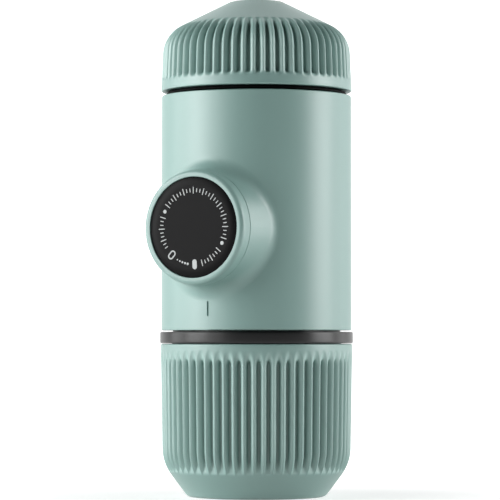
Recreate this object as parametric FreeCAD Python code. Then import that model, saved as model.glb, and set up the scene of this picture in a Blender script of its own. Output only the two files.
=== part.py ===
import FreeCAD, Part
import math
import os

# Handheld manual espresso maker, standing on its cup with the water tank on top.
# Millimetres. +Z is up, the origin is the centre of the cup's flat base.
# The hand pump lies across the body and its knob points forwards, along -Y.

vec = FreeCAD.Vector
FULL_TURN = 360.0
TOUCH = 1e-6

# ---- The stack that shows outside, from the table up ----
cup_height = 47.8
cup_flange_gap = 0.4
flange_thickness = 3.1
flange_body_gap = 0.7
body_height = 73.6
body_cover_gap = 1.5
cover_height = 28.3

# ---- Fits and clearances ----
seat_gap = 0.1
ring_gap = 0.2
running_fit = 0.05
sliding_gap = 0.4
thread_gap = 0.3
skirt_end_gap = 1.8
piston_end_gap = 0.45
guide_floor_gap = 0.3
guide_roof_gap = 1.1
edge_break = 0.3
soft_edge = 0.4
thread_flank_angle = 20.0
spring_points_per_turn = 4

# ---- Flutes, the same on the cup and on the tank cover ----
flute_count = 60
flute_width = 2.0
flute_depth = 1.4
flute_corner = 0.85
flute_reach = 6.0
flute_fade_lean = 40.0

# ---- Cup ----
cup_rim_inset = 0.2
cup_side_lean = 0.6
cup_foot_inset = 7.9
cup_foot_slope = 37.0
cup_shoulder_round = 14.0
cup_foot_round = 2.0
cup_rim_round = 0.5
cup_wall = 3.1
cup_floor = 3.0
cup_inside_round = 9.0
cup_flute_top_margin = 5.1
cup_flute_fade = 4.0

# ---- Outlet head: flange, neck, skirt and valve housing ----
flange_proud = 0.5
flange_round = 0.45
head_collar_step = 1.3
neck_wall = 2.0
head_neck_height = 8.5
head_skirt_depth = 4.7
head_skirt_gap = 0.4
head_belly_inset = 2.6
head_belly_drop = 1.6
head_belly_round = 2.5
head_floor_drop = 0.6
head_floor_round = 1.0
basket_ledge_width = 2.0
funnel_mouth_margin = 1.0
funnel_depth = 8.0
valve_bore_radius = 3.0
valve_bore_length = 2.0
valve_housing_radius = 8.0
valve_chamber_radius = 5.2
valve_chamber_length = 9.6
valve_housing_length = 6.0
housing_step = 0.5
seal_section_radius = 0.8
seal_squeeze_gap = 0.1
seal_groove_drop = 1.4
seal_groove_bite = 0.3

# ---- Spout cap, crema valve and its spring ----
spout_wall = 1.75
spout_floor = 2.0
spout_round = 0.8
spout_hole_radius = 1.2
spout_hole_pitch_radius = 3.4
spout_hole_count = 3
poppet_radius = 4.4
poppet_thickness = 1.9
poppet_nose_radius = 2.5
poppet_nose_length = 1.5
poppet_nose_round = 0.8
poppet_tail_radius = 1.5
poppet_tail_length = 2.6
crema_spring_radius = 3.2
crema_spring_wire = 0.35
crema_spring_turns = 4.0

# ---- Filter basket, its screen and the scoop ----
sheet_thickness = 0.8
basket_side_gap = 0.4
basket_depth = 11.6
basket_floor_round = 1.5
basket_opening_margin = 2.0
screen_thickness = 0.4
screen_hole_radius = 0.55
screen_hole_pitch = 3.2
screen_rows = 5
scoop_wall = 1.2
scoop_side_gap = 0.5
scoop_depth = 9.6
scoop_floor_round = 3.0

# ---- Group: gasket, group head, shower screen and its screw ----
group_gasket_thickness = 1.0
group_gasket_width = 3.6
group_head_thickness = 1.6
group_channel_depth = 0.5
group_channel_inset = 7.0
shower_inset = 5.0
shower_thickness = 0.5
shower_screw_radius = 1.5
shower_screw_head_radius = 3.0
shower_screw_head_height = 1.0
shower_screw_head_round = 0.6
shower_screw_slot_width = 0.8
shower_screw_slot_depth = 0.5
shower_screw_cover = 0.2
shower_clear_radius = 4.0

# ---- Sockets at the two ends of the body ----
socket_shell_gap = 0.2
socket_wall = 1.5
socket_neck_gap = 1.5
socket_end_gap = 0.4
head_plate_thickness = 1.7
tank_gasket_thickness = 1.2
tank_gasket_width = 2.2
bulkhead_thickness = 2.4

# ---- Coarse threads, one form for the head and for the tank ----
thread_lead = 16.0
thread_starts = 4
ridge_width = 1.6
ridge_height = 1.2
ridge_root = 0.5
ridge_sweep = 66.0
head_ridge_rise = 2.2
tank_ridge_rise = 8.5

# ---- Body shell, boss and index groove ----
body_radius = 29.8
body_wall = 1.6
body_edge_round = 0.3
boss_proud = 4.1
boss_face_radius = 17.5
boss_slope = 9.3
boss_fillet = 5.0
boss_edge_round = 0.25
boss_lip_thickness = 1.3
index_groove_rise = 4.3
index_groove_length = 4.6
index_groove_width = 0.65
index_groove_depth = 0.5
index_groove_round = 0.29
boss_root_depth = 15.0

# ---- Knob ----
knob_height = 4.7
knob_edge_round = 1.3
knob_side_wall = 1.9
knob_plate_thickness = 2.2
knob_boss_gap = 0.05
disc_recess = 1.2
disc_thickness = 0.95
knob_rim_width = 2.15
disc_edge_round = 0.15
knob_rear_round = 0.25
knob_inside_round = 0.5
skirt_inset = 3.1
skirt_wall = 1.5
skirt_plate_thickness = 1.8
skirt_lug_height = 1.0
skirt_lug_length = 2.0
skirt_lug_span = 30.0
lug_count = 3
lug_first_angle = 30.0
unlock_angle = 45.0
pocket_margin_angle = 3.0
knob_hub_wall = 2.4
knob_screw_inset = 3.9
knob_post_radius = 2.4

# ---- Pump: barrel, rod and piston ----
barrel_bore_radius = 6.0
barrel_wall = 2.0
barrel_flange_thickness = 2.0
barrel_cap_flange = 1.0
barrel_cap_plug = 1.5
barrel_cap_spigot_radius = 5.6
barrel_cap_spigot_length = 2.5
piston_length = 6.0
piston_rear_gap = 1.0
piston_seal_width = 2.0
piston_seal_depth = 1.2
piston_seal_proud = 0.02
rod_tip_share = 3.0
rod_radius = 3.0
rod_tip_radius = 2.0
rod_head_radius = 5.0
rod_head_thickness = 1.3
return_spring_gap = 0.5
return_spring_wire = 0.4
return_spring_turns = 6.0

# ---- Knob guide ----
guide_wall = 1.7
guide_end_thickness = 1.5
guide_pocket_wall = 0.7
pump_screw_inset = 4.2
pump_screw_edge = 2.4
pump_screw_count = 3

# ---- Pump frame ----
frame_wall = 2.0
frame_flange_gap = 2.0
frame_back_gap = 7.15
ear_radius = 3.0
ear_thickness = 2.0
ear_reach = 3.3
ear_shell_gap = 1.6
ear_front_place = -8.0
ear_boss_height = 6.7

# ---- Valve block, water tubes and non-return valves ----
port_wall = 0.5
block_half_width = 9.0
block_half_height = 10.0
block_socket_depth = 2.9
block_chamber_radius = 4.0
block_edge_round = 1.0
barrel_seal_thickness = 0.8
tube_radius = 3.6
tube_wall = 1.6
tube_socket_depth = 5.0
tube_seal_thickness = 0.6
flap_radius = 3.0
flap_thickness = 0.7
flap_stem_radius = 1.0
flap_stem_length = 2.5
flap_room = 1.6
port_radius = 1.6
group_boss_radius = 4.6
group_boss_height = 4.9
bulkhead_socket_depth = 1.4
filter_radius = 5.0
filter_thickness = 0.5
filter_hole_count = 6

# ---- Tank ----
cover_rim_proud = 0.2
cover_draft = 2.3
cover_slope = 26.6
cover_shoulder_round = 10.0
cover_plateau_radius = 8.4
cover_plateau_round = 3.0
cover_rim_round = 0.4
cover_wall = 2.8
cover_flute_rise = 3.4
cover_flute_fade_drop = 6.4
cover_floor_slope = 36.0
cover_flute_overrun = 2.0
cover_flute_foot_lean = 0.3
nub_radius = 4.8
nub_rise = 0.6
nub_groove_width = 2.2
nub_groove_depth = 0.3
nub_groove_slant = 0.4
nub_round = 0.5
vessel_wall = 1.6
vessel_cover_gap = 0.1
vessel_bead_height = 1.6
vessel_bead_thickness = 0.7
vessel_roof_gap = 1.4
vessel_bead_round = 0.25
vessel_inside_round = 1.0
collar_inset = 0.5
air_flap_radius = 4.0
air_stem_radius = 1.4
air_bulb_radius = 2.0
air_bulb_height = 0.9
air_flap_thickness = 1.0
air_flap_edge = 0.3

# ---- Small screws, one form for frame, pump and knob ----
screw_radius = 1.25
screw_head_radius = 2.0
screw_head_height = 1.0
screw_drive_length = 2.6
screw_drive_width = 0.6
screw_drive_depth = 0.5
screw_length = 6.0
knob_screw_cover = 0.8
screw_hole_gap = 0.05
screw_pass_gap = 0.15

# ---- Radii worked out from the body's ----
body_inside_radius = body_radius - body_wall
socket_radius = body_inside_radius - socket_shell_gap
socket_bore_radius = socket_radius - socket_wall
neck_radius = socket_bore_radius - socket_neck_gap
neck_inside_radius = neck_radius - neck_wall
flange_radius = body_radius + flange_proud
cup_rim_radius = flange_radius - cup_rim_inset
cup_shoulder_radius = cup_rim_radius - cup_side_lean
cup_foot_radius = cup_shoulder_radius - cup_foot_inset
cup_inside_radius = cup_rim_radius - cup_wall
head_collar_radius = neck_radius + head_collar_step
head_skirt_radius = cup_inside_radius - head_skirt_gap
head_belly_radius = head_skirt_radius - head_belly_inset
basket_radius = neck_inside_radius - basket_side_gap
basket_inside_radius = basket_radius - sheet_thickness
scoop_radius = basket_inside_radius - scoop_side_gap
group_channel_radius = neck_radius - group_channel_inset
shower_radius = neck_radius - shower_inset
cover_rim_radius = body_radius + cover_rim_proud
collar_radius = cover_rim_radius - cover_wall - vessel_cover_gap - collar_inset
vessel_bead_radius = collar_radius + vessel_bead_height

# ---- Radii worked out from the knob's and the pump's ----
knob_radius = boss_face_radius
disc_radius = knob_radius - knob_rim_width
skirt_radius = knob_radius - skirt_inset
knob_screw_pitch_radius = skirt_radius - knob_screw_inset
guide_bore_radius = skirt_radius + sliding_gap
guide_radius = guide_bore_radius + guide_wall
pump_screw_pitch_radius = guide_bore_radius - pump_screw_inset
barrel_radius = barrel_bore_radius + barrel_wall
barrel_flange_radius = pump_screw_pitch_radius + pump_screw_edge
frame_half_width = barrel_flange_radius + frame_flange_gap + frame_wall
return_spring_radius = barrel_cap_spigot_radius + return_spring_wire + return_spring_gap
tube_bore_radius = tube_radius - tube_wall
tube_socket_radius = tube_radius + running_fit
screw_thread_radius = screw_radius + screw_hole_gap
screw_pass_radius = screw_radius + screw_pass_gap

# ---- Heights worked out from the stack ----
flange_bottom = cup_height + cup_flange_gap
flange_top = flange_bottom + flange_thickness
body_bottom = flange_top + flange_body_gap
body_top = body_bottom + body_height
cover_bottom = body_top + body_cover_gap
plateau_height = cover_bottom + cover_height

head_neck_top = flange_top + head_neck_height
basket_rim_bottom = head_neck_top + seat_gap
basket_rim_top = basket_rim_bottom + sheet_thickness
scoop_rim_bottom = basket_rim_top + ring_gap
scoop_rim_top = scoop_rim_bottom + sheet_thickness
group_gasket_bottom = scoop_rim_top + ring_gap
group_head_bottom = group_gasket_bottom + group_gasket_thickness + seat_gap
group_head_top = group_head_bottom + group_head_thickness
head_plate_bottom = group_head_top + seat_gap
head_plate_top = head_plate_bottom + head_plate_thickness

# The knob's guide fills the height between the two sockets.
pump_height = head_plate_top + guide_floor_gap + guide_radius
bulkhead_bottom = pump_height + guide_radius + guide_roof_gap
bulkhead_top = bulkhead_bottom + bulkhead_thickness
tank_gasket_bottom = bulkhead_top + ring_gap
tank_gasket_top = tank_gasket_bottom + tank_gasket_thickness
tank_neck_mouth = tank_gasket_top + ring_gap

# ---- Places behind the pump's barrel, as distances behind the body's centre ----
frame_back_distance = body_inside_radius - frame_back_gap
frame_back_inside = frame_back_distance - frame_wall
port_distance = frame_back_inside - sliding_gap - group_boss_radius
barrel_rear_distance = port_distance - tube_socket_radius - port_wall - seat_gap - barrel_seal_thickness
block_front = barrel_rear_distance - block_socket_depth + barrel_seal_thickness + seat_gap
block_back = frame_back_inside - running_fit

# ---- Places along the pump's axis, as distances in front of the body's centre ----
boss_face_distance = body_radius + boss_proud
knob_face_distance = boss_face_distance + knob_height
guide_front = boss_face_distance - boss_lip_thickness - seat_gap
piston_rear = -barrel_rear_distance + piston_rear_gap
piston_front = piston_rear + piston_length
piston_middle = (piston_rear + piston_front) / 2
rod_tip_end = piston_rear + piston_length / rod_tip_share

# The stroke is what the room across the body leaves: the piston needs it once in
# the barrel, and the knob's skirt needs it once more in the guide.
guide_stack = ring_gap + skirt_lug_length + skirt_end_gap + guide_end_thickness
barrel_stack = barrel_cap_flange + running_fit + barrel_cap_plug + piston_end_gap
pump_stroke = (guide_front - guide_stack - barrel_stack - piston_front) / 2

skirt_rear = guide_front - ring_gap - pump_stroke - skirt_lug_length
guide_wall_front = skirt_rear - skirt_end_gap
guide_rear = guide_wall_front - guide_end_thickness
frame_front_distance = guide_rear
frame_front_inside = frame_front_distance - frame_wall
barrel_front = frame_front_distance - barrel_cap_flange - running_fit
barrel_flange_front = frame_front_inside - running_fit
knob_wall_rear = boss_face_distance + knob_boss_gap
knob_plate_front = knob_face_distance - disc_recess
knob_plate_rear = knob_plate_front - knob_plate_thickness
rod_head_front = knob_plate_rear - sliding_gap
rod_head_rear = rod_head_front - rod_head_thickness
skirt_plate_front = rod_head_rear - seat_gap
skirt_plate_rear = skirt_plate_front - skirt_plate_thickness

# ---- Places of the frame's ears beside the frame, clear of the body's shell ----
ear_side_distance = frame_half_width + ear_reach
ear_circle_radius = body_inside_radius - ear_radius - ear_shell_gap
ear_back_place = math.sqrt(ear_circle_radius ** 2 - ear_side_distance ** 2)


# ======================= Shape helpers =======================

def corner_arc(before, corner, after, radius):
    """Start, middle and end of the arc that rounds one corner of an outline."""
    towards_before = (before - corner).normalize()
    towards_after = (after - corner).normalize()
    half_angle = towards_before.getAngle(towards_after) / 2
    reach = radius / math.tan(half_angle)
    bisector = (towards_before + towards_after).normalize()
    middle = corner + bisector * (radius / math.sin(half_angle) - radius)
    return corner + towards_before * reach, middle, corner + towards_after * reach


def outline_face(corners):
    """Flat face in the XZ plane. Each corner is (x, z) or (x, z, rounding radius)."""
    points = [vec(corner[0], 0, corner[1]) for corner in corners]
    count = len(corners)
    stops = []
    for i in range(count):
        if len(corners[i]) == 3 and corners[i][2] > 0:
            stops.append(corner_arc(points[i - 1], points[i], points[(i + 1) % count], corners[i][2]))
        else:
            stops.append((points[i],))
    edges = []
    for i in range(count):
        leave = stops[i - 1][-1]
        arrive = stops[i][0]
        if leave.distanceToPoint(arrive) > TOUCH:
            edges.append(Part.LineSegment(leave, arrive).toShape())
        if len(stops[i]) == 3:
            edges.append(Part.Arc(*stops[i]).toShape())
    return Part.Face(Part.Wire(Part.__sortEdges__(edges)))


def turned(corners):
    """Solid of revolution about Z from (radius, height) corners."""
    return outline_face(corners).revolve(vec(0, 0, 0), vec(0, 0, 1), FULL_TURN)


def disc(radius, bottom, top):
    """Plain cylinder about Z."""
    return Part.makeCylinder(radius, top - bottom, vec(0, 0, bottom))


def tube(inner_radius, outer_radius, bottom, top):
    """Plain ring about Z."""
    return disc(outer_radius, bottom, top).cut(disc(inner_radius, bottom, top))


def block(x_low, x_high, y_low, y_high, z_low, z_high):
    """Box between two corners."""
    return Part.makeBox(x_high - x_low, y_high - y_low, z_high - z_low, vec(x_low, y_low, z_low))


def moved(shape, x=0.0, y=0.0, z=0.0):
    """Copy of a shape at an offset."""
    copy = shape.copy()
    copy.translate(vec(x, y, z))
    return copy


def turned_by(shape, angle):
    """Copy of a shape turned about Z, in degrees."""
    copy = shape.copy()
    copy.rotate(vec(0, 0, 0), vec(0, 0, 1), angle)
    return copy


def around(shape, count, first_angle=0.0):
    """Evenly spaced copies of a shape about Z."""
    return [turned_by(shape, first_angle + i * FULL_TURN / count) for i in range(count)]


def on_pump_axis(shape):
    """Lay a piece that was built along +Z onto the pump's axis, pointing forwards along -Y."""
    laid = shape.copy()
    laid.rotate(vec(0, 0, 0), vec(1, 0, 0), 90)
    laid.translate(vec(0, 0, pump_height))
    return laid


def upside_down(shape, height):
    """Copy of a shape flipped about the horizontal plane at a height."""
    return shape.mirror(vec(0, 0, height), vec(0, 0, 1))


def coil_path(mean_radius, pitch, turns):
    """Helix about Z as a wire of tangent arcs, two between each pair of its points."""
    steps = math.ceil(turns * spring_points_per_turn)
    slope = pitch / (2 * math.pi)
    points = []
    directions = []
    for i in range(steps + 1):
        angle = 2 * math.pi * turns * i / steps
        points.append(vec(mean_radius * math.cos(angle), mean_radius * math.sin(angle), slope * angle))
        way = vec(-mean_radius * math.sin(angle), mean_radius * math.cos(angle), slope)
        directions.append(way.normalize())
    arcs = []
    for i in range(steps):
        # The two corners lie on the end tangents, as far from the ends as from their joint.
        chord = points[i + 1] - points[i]
        both = directions[i] + directions[i + 1]
        spare = 4 - both.dot(both)
        leg = (math.sqrt(chord.dot(both) ** 2 + spare * chord.dot(chord)) - chord.dot(both)) / spare
        corners = (points[i] + directions[i] * leg, points[i + 1] - directions[i + 1] * leg)
        joint = (corners[0] + corners[1]) / 2
        for start, corner, end in ((points[i], corners[0], joint), (joint, corners[1], points[i + 1])):
            half_angle = (start - corner).getAngle(end - corner) / 2
            middle = corner_arc(start, corner, end, leg * math.tan(half_angle))[1]
            arcs.append(Part.Arc(start, middle, end).toShape())
    return Part.Wire(arcs)


def helix_spring(mean_radius, wire_radius, turns, bottom, top):
    """Open coil spring between two planes, its wire just clear of both."""
    low = bottom + wire_radius + running_fit
    rise = top - wire_radius - running_fit - low
    path = coil_path(mean_radius, rise / turns, turns)
    first = path.Edges[0]
    section = Part.makeCircle(wire_radius, vec(mean_radius, 0, 0), first.tangentAt(first.FirstParameter))
    coil = path.makePipeShell([Part.Wire(section)], True)
    return moved(coil, z=low)


def thread_ridges(root_radius, tip_radius, start_height, first_angle):
    """Short helical ridges, one per start, that climb as they turn to the left."""
    rise = thread_lead * ridge_sweep / FULL_TURN
    path = Part.makeHelix(thread_lead, rise, root_radius)
    half = ridge_width / 2
    flank = abs(tip_radius - root_radius) * math.tan(math.radians(thread_flank_angle)) / 2
    corners = [
        vec(root_radius, 0, -half - flank / 2),
        vec(tip_radius, 0, -half + flank),
        vec(tip_radius, 0, half - flank),
        vec(root_radius, 0, half + flank / 2),
    ]
    section = Part.makePolygon(corners + corners[:1])
    ridge = Part.Wire(path).makePipeShell([section], True, True)
    return around(moved(ridge, z=start_height), thread_starts, first_angle)


def screw(length):
    """Small pan-head screw along -Z, with the underside of its head at the origin."""
    head = turned([
        (0, 0), (screw_head_radius, 0),
        (screw_head_radius, screw_head_height, screw_head_height / 2), (0, screw_head_height),
    ])
    half_width = screw_drive_width / 2
    half_length = screw_drive_length / 2
    drive = block(-half_width, half_width, -half_length, half_length,
                  screw_head_height - screw_drive_depth, screw_head_height)
    cross = drive.fuse(turned_by(drive, 90))
    return head.fuse(disc(screw_radius, -length, 0)).cut(cross)


def on_flute_floor(edge, floor_radius):
    """True for the long edges on the two sides of a flute cutter's floor."""
    box = edge.BoundBox
    inner = box.XMin < floor_radius + flute_depth / 2
    return inner and box.YLength < TOUCH and box.ZLength > flute_depth / 2


# ======================= Cup =======================

def cup_flute():
    """Cutter for one flute: straight floor, fading out under the rim and off the rounded shoulder."""
    floor_radius = cup_shoulder_radius - flute_depth
    fade_top = cup_height - cup_flute_top_margin
    lean = math.tan(math.radians(flute_fade_lean)) * flute_reach
    profile = outline_face([
        (floor_radius, cup_floor),
        (floor_radius + cup_rim_radius - cup_shoulder_radius, fade_top, cup_flute_fade),
        (floor_radius + flute_reach, fade_top + lean),
        (floor_radius + flute_reach, cup_floor),
    ])
    slot = moved(profile.extrude(vec(0, flute_width, 0)), y=-flute_width / 2)
    rounded = [edge for edge in slot.Edges if on_flute_floor(edge, floor_radius)]
    return slot.makeFillet(flute_corner, rounded)


def cup():
    """Fluted cup that everything stands on and that the coffee runs into."""
    slope = math.tan(math.radians(cup_foot_slope))
    corner_height = (cup_shoulder_radius - cup_foot_radius) / slope
    shell = turned([
        (0, 0),
        (cup_foot_radius, 0, cup_foot_round),
        (cup_shoulder_radius, corner_height, cup_shoulder_round),
        (cup_rim_radius, cup_height, cup_rim_round),
        (cup_inside_radius, cup_height, cup_rim_round),
        (cup_shoulder_radius - cup_wall, corner_height + cup_floor, cup_inside_round),
        (cup_foot_radius - cup_floor, cup_floor, cup_inside_round / 2),
        (0, cup_floor),
    ])
    return shell.cut(around(cup_flute(), flute_count))


# ======================= Outlet head =======================

def head_levels():
    """Heights of the outlet head's inside, from its floor down to the end of the valve housing."""
    floor = basket_rim_bottom - basket_depth - head_floor_drop
    funnel_end = floor - funnel_depth
    seat = funnel_end - valve_bore_length
    end = seat - valve_chamber_length
    return floor, funnel_end, seat, end


def outlet_head():
    """Flanged funnel that holds the filter basket, screws into the body and plugs the cup."""
    floor, funnel_end, seat, end = head_levels()
    skirt_bottom = flange_bottom - head_skirt_depth
    groove_radius = head_skirt_radius - 2 * seal_section_radius + seal_groove_bite
    groove_top = flange_bottom - seal_groove_drop
    groove_bottom = groove_top - 2 * seal_section_radius - ring_gap
    body = turned([
        (valve_chamber_radius, end),
        (valve_housing_radius, end, edge_break),
        (valve_housing_radius, end + valve_housing_length),
        (valve_housing_radius + spout_wall, end + valve_housing_length + housing_step, soft_edge),
        (head_belly_radius, skirt_bottom - head_belly_drop, head_belly_round),
        (head_skirt_radius, skirt_bottom, soft_edge),
        (head_skirt_radius, groove_bottom),
        (groove_radius, groove_bottom),
        (groove_radius, groove_top),
        (head_skirt_radius, groove_top),
        (head_skirt_radius, flange_bottom),
        (flange_radius, flange_bottom, flange_round),
        (flange_radius, flange_top, flange_round),
        (head_collar_radius, flange_top),
        (head_collar_radius, body_bottom),
        (neck_radius, body_bottom),
        (neck_radius, head_neck_top, soft_edge),
        (neck_inside_radius, head_neck_top, soft_edge),
        (neck_inside_radius, floor, head_floor_round),
        (neck_inside_radius - basket_ledge_width, floor),
        (valve_bore_radius + funnel_mouth_margin, funnel_end),
        (valve_bore_radius, funnel_end),
        (valve_bore_radius, seat),
        (valve_chamber_radius, seat),
    ])
    ridges = thread_ridges(neck_radius - ridge_root, neck_radius + ridge_height,
                           flange_top + head_ridge_rise, 0)
    return body.fuse(ridges)


def cup_seal():
    """O-ring in the head's skirt that grips the inside of the cup."""
    section = seal_section_radius
    height = flange_bottom - seal_groove_drop - section - ring_gap / 2
    ring_radius = cup_inside_radius - seal_squeeze_gap - section
    return Part.makeTorus(ring_radius, section, vec(0, 0, height))


def spout_cap():
    """Cap under the valve housing with the holes that the coffee leaves by."""
    end = head_levels()[3]
    inside = valve_housing_radius + running_fit
    outside = inside + spout_wall
    top = end + valve_housing_length - seat_gap
    cap = turned([
        (0, end - seat_gap - spout_floor),
        (outside, end - seat_gap - spout_floor, spout_round),
        (outside, top, edge_break),
        (inside, top),
        (inside, end - seat_gap),
        (0, end - seat_gap),
    ])
    hole = moved(disc(spout_hole_radius, end - 2 * spout_floor, end), x=spout_hole_pitch_radius)
    return cap.cut(around(hole, spout_hole_count))


def crema_valve():
    """Spring-loaded poppet that holds the pressure back until the crema forms."""
    seat = head_levels()[2]
    top = seat - seat_gap
    return turned([
        (0, top - poppet_thickness - poppet_tail_length),
        (poppet_tail_radius, top - poppet_thickness - poppet_tail_length, soft_edge),
        (poppet_tail_radius, top - poppet_thickness),
        (poppet_radius, top - poppet_thickness),
        (poppet_radius, top, edge_break),
        (poppet_nose_radius, top),
        (poppet_nose_radius, top + poppet_nose_length, poppet_nose_round),
        (0, top + poppet_nose_length),
    ])


def crema_spring():
    """Coil spring between the spout cap and the crema valve."""
    end = head_levels()[3]
    seat = head_levels()[2]
    top = seat - seat_gap - poppet_thickness
    return helix_spring(crema_spring_radius, crema_spring_wire, crema_spring_turns, end - seat_gap, top)


# ======================= Basket and scoop =======================

def screen_row_step():
    """Distance between two rows of holes in a screen."""
    return screen_hole_pitch * math.sqrt(3) / 2


def hole_grid(bottom, top, clear_radius):
    """Hexagonal field of small holes about Z, kept clear of the middle and of the edge."""
    holes = []
    row_step = screen_row_step()
    for row in range(-screen_rows, screen_rows + 1):
        for column in range(-screen_rows, screen_rows + 1):
            x = screen_hole_pitch * (column + row % 2 / 2)
            y = row_step * row
            reach = math.hypot(x, y)
            if clear_radius <= reach < screen_rows * row_step + screen_hole_radius / 2:
                holes.append(moved(disc(screen_hole_radius, bottom, top), x, y))
    return holes


def basket_floor_height():
    """Height of the inside of the basket's floor."""
    return basket_rim_bottom - basket_depth + sheet_thickness


def filter_basket():
    """Steel basket that holds the ground coffee, hung from its rim on the head's neck."""
    bottom = basket_rim_bottom - basket_depth
    opening = screen_rows * screen_row_step() + basket_opening_margin
    return turned([
        (opening, bottom),
        (basket_radius, bottom, basket_floor_round),
        (basket_radius, basket_rim_bottom),
        (neck_radius - seat_gap, basket_rim_bottom),
        (neck_radius - seat_gap, basket_rim_top, edge_break),
        (basket_inside_radius, basket_rim_top, edge_break),
        (basket_inside_radius, basket_floor_height(), basket_floor_round / 2),
        (opening, basket_floor_height()),
    ])


def basket_screen():
    """Perforated disc that rests on the basket's floor ledge."""
    bottom = basket_floor_height()
    top = bottom + screen_thickness
    plate = disc(basket_inside_radius - basket_floor_round, bottom, top)
    return plate.cut(hole_grid(bottom, top, 0))


def scoop():
    """Coffee scoop and tamper, stored upright in the basket."""
    bottom = scoop_rim_bottom - scoop_depth
    inside = scoop_radius - scoop_wall
    return turned([
        (0, bottom),
        (scoop_radius, bottom, scoop_floor_round),
        (scoop_radius, scoop_rim_bottom),
        (neck_radius - seat_gap, scoop_rim_bottom),
        (neck_radius - seat_gap, scoop_rim_top, edge_break),
        (inside, scoop_rim_top, edge_break),
        (inside, bottom + scoop_wall, scoop_floor_round - scoop_wall / 2),
        (0, bottom + scoop_wall),
    ])


# ======================= Group and sockets =======================

def group_gasket():
    """Flat silicone ring that seals the basket against the group."""
    outer = neck_radius - seat_gap
    top = group_gasket_bottom + group_gasket_thickness
    return tube(outer - group_gasket_width, outer, group_gasket_bottom, top)


def group_head():
    """Disc that spreads the pumped water over the shower screen, with the outlet tube's socket."""
    plate = turned([
        (0, group_head_bottom),
        (socket_bore_radius - ring_gap, group_head_bottom),
        (socket_bore_radius - ring_gap, group_head_top, edge_break),
        (0, group_head_top),
    ])
    boss_top = group_head_top + group_boss_height
    boss = moved(disc(group_boss_radius, group_head_bottom, boss_top), y=port_distance)
    channel = disc(group_channel_radius, group_head_bottom, group_head_bottom + group_channel_depth)
    island = disc(shower_screw_head_radius, group_head_bottom, group_head_bottom + group_channel_depth)
    socket = disc(tube_socket_radius, boss_top - tube_socket_depth + seat_gap, boss_top)
    port = disc(port_radius, group_head_bottom, boss_top)
    thread = disc(shower_screw_radius + screw_hole_gap, group_head_bottom, group_head_top)
    well = moved(socket.fuse(port), y=port_distance)
    return plate.fuse(boss).cut([channel.cut(island), well, thread])


def shower_screen():
    """Perforated steel disc under the group head."""
    bottom = group_head_bottom - seat_gap - shower_thickness
    top = bottom + shower_thickness
    plate = disc(shower_radius, bottom, top)
    centre = disc(shower_screw_radius + screw_pass_gap, bottom, top)
    return plate.cut([centre] + hole_grid(bottom, top, shower_clear_radius))


def shower_screw():
    """Screw that holds the shower screen to the group head."""
    underside = group_head_bottom - seat_gap - shower_thickness
    shank = disc(shower_screw_radius, underside, group_head_top - shower_screw_cover)
    head = turned([
        (0, underside - shower_screw_head_height),
        (shower_screw_head_radius, underside - shower_screw_head_height, shower_screw_head_round),
        (shower_screw_head_radius, underside),
        (0, underside),
    ])
    slot_floor = underside - shower_screw_head_height + shower_screw_slot_depth
    slot = block(-shower_screw_slot_width / 2, shower_screw_slot_width / 2,
                 -shower_screw_head_radius, shower_screw_head_radius,
                 underside - shower_screw_head_height, slot_floor)
    return head.fuse(shank).cut(slot)


def ear_places():
    """Where the four long screws of each end stand."""
    return [(side * ear_side_distance, y) for side in (-1, 1) for y in (ear_front_place, ear_back_place)]


def screw_bosses(root, tip):
    """Four bosses with blind screw holes that open at the tip."""
    bosses = []
    for x, y in ear_places():
        boss = moved(disc(ear_radius, min(root, tip), max(root, tip)), x, y)
        hole = moved(disc(screw_thread_radius, min(root, tip), max(root, tip)), x, y)
        bosses.append(boss.cut(hole))
    return bosses


def head_socket():
    """Lower core of the body: the threaded socket for the outlet head and the plate over it."""
    bottom = body_bottom + socket_end_gap
    wall = tube(socket_bore_radius, socket_radius, bottom, head_plate_top)
    plate = disc(socket_radius, head_plate_bottom, head_plate_top)
    port = moved(disc(group_boss_radius + ring_gap, head_plate_bottom, head_plate_top), y=port_distance)
    ridges = thread_ridges(socket_bore_radius + ridge_root, socket_bore_radius - ridge_height,
                           flange_top + head_ridge_rise, FULL_TURN / thread_starts / 2)
    bosses = screw_bosses(head_plate_top, head_plate_top + ear_boss_height)
    solid = wall.fuse([plate.cut(port)] + ridges + bosses)
    # Ridges that start low are trimmed level with the socket's end.
    return solid.common(disc(socket_radius, bottom, head_plate_top + ear_boss_height))


def tank_socket():
    """Upper core of the body: the threaded socket for the tank's neck and the bulkhead under it."""
    top = body_top - socket_end_gap
    wall = tube(socket_bore_radius, socket_radius, bulkhead_bottom, top)
    plate = disc(socket_radius, bulkhead_bottom, bulkhead_top)
    port = disc(tube_bore_radius, bulkhead_bottom, bulkhead_top)
    socket = disc(tube_socket_radius, bulkhead_bottom, bulkhead_bottom + bulkhead_socket_depth)
    pocket = disc(filter_radius + seat_gap, bulkhead_top - filter_thickness - seat_gap, bulkhead_top)
    well = moved(port.fuse([socket, pocket]), y=port_distance)
    ridges = thread_ridges(socket_bore_radius + ridge_root, socket_bore_radius - ridge_height,
                           tank_neck_mouth + tank_ridge_rise, FULL_TURN / thread_starts / 2)
    bosses = screw_bosses(bulkhead_bottom, bulkhead_bottom - ear_boss_height)
    return wall.fuse([plate.cut(well)] + ridges + bosses)


# ======================= Body shell =======================

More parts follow.
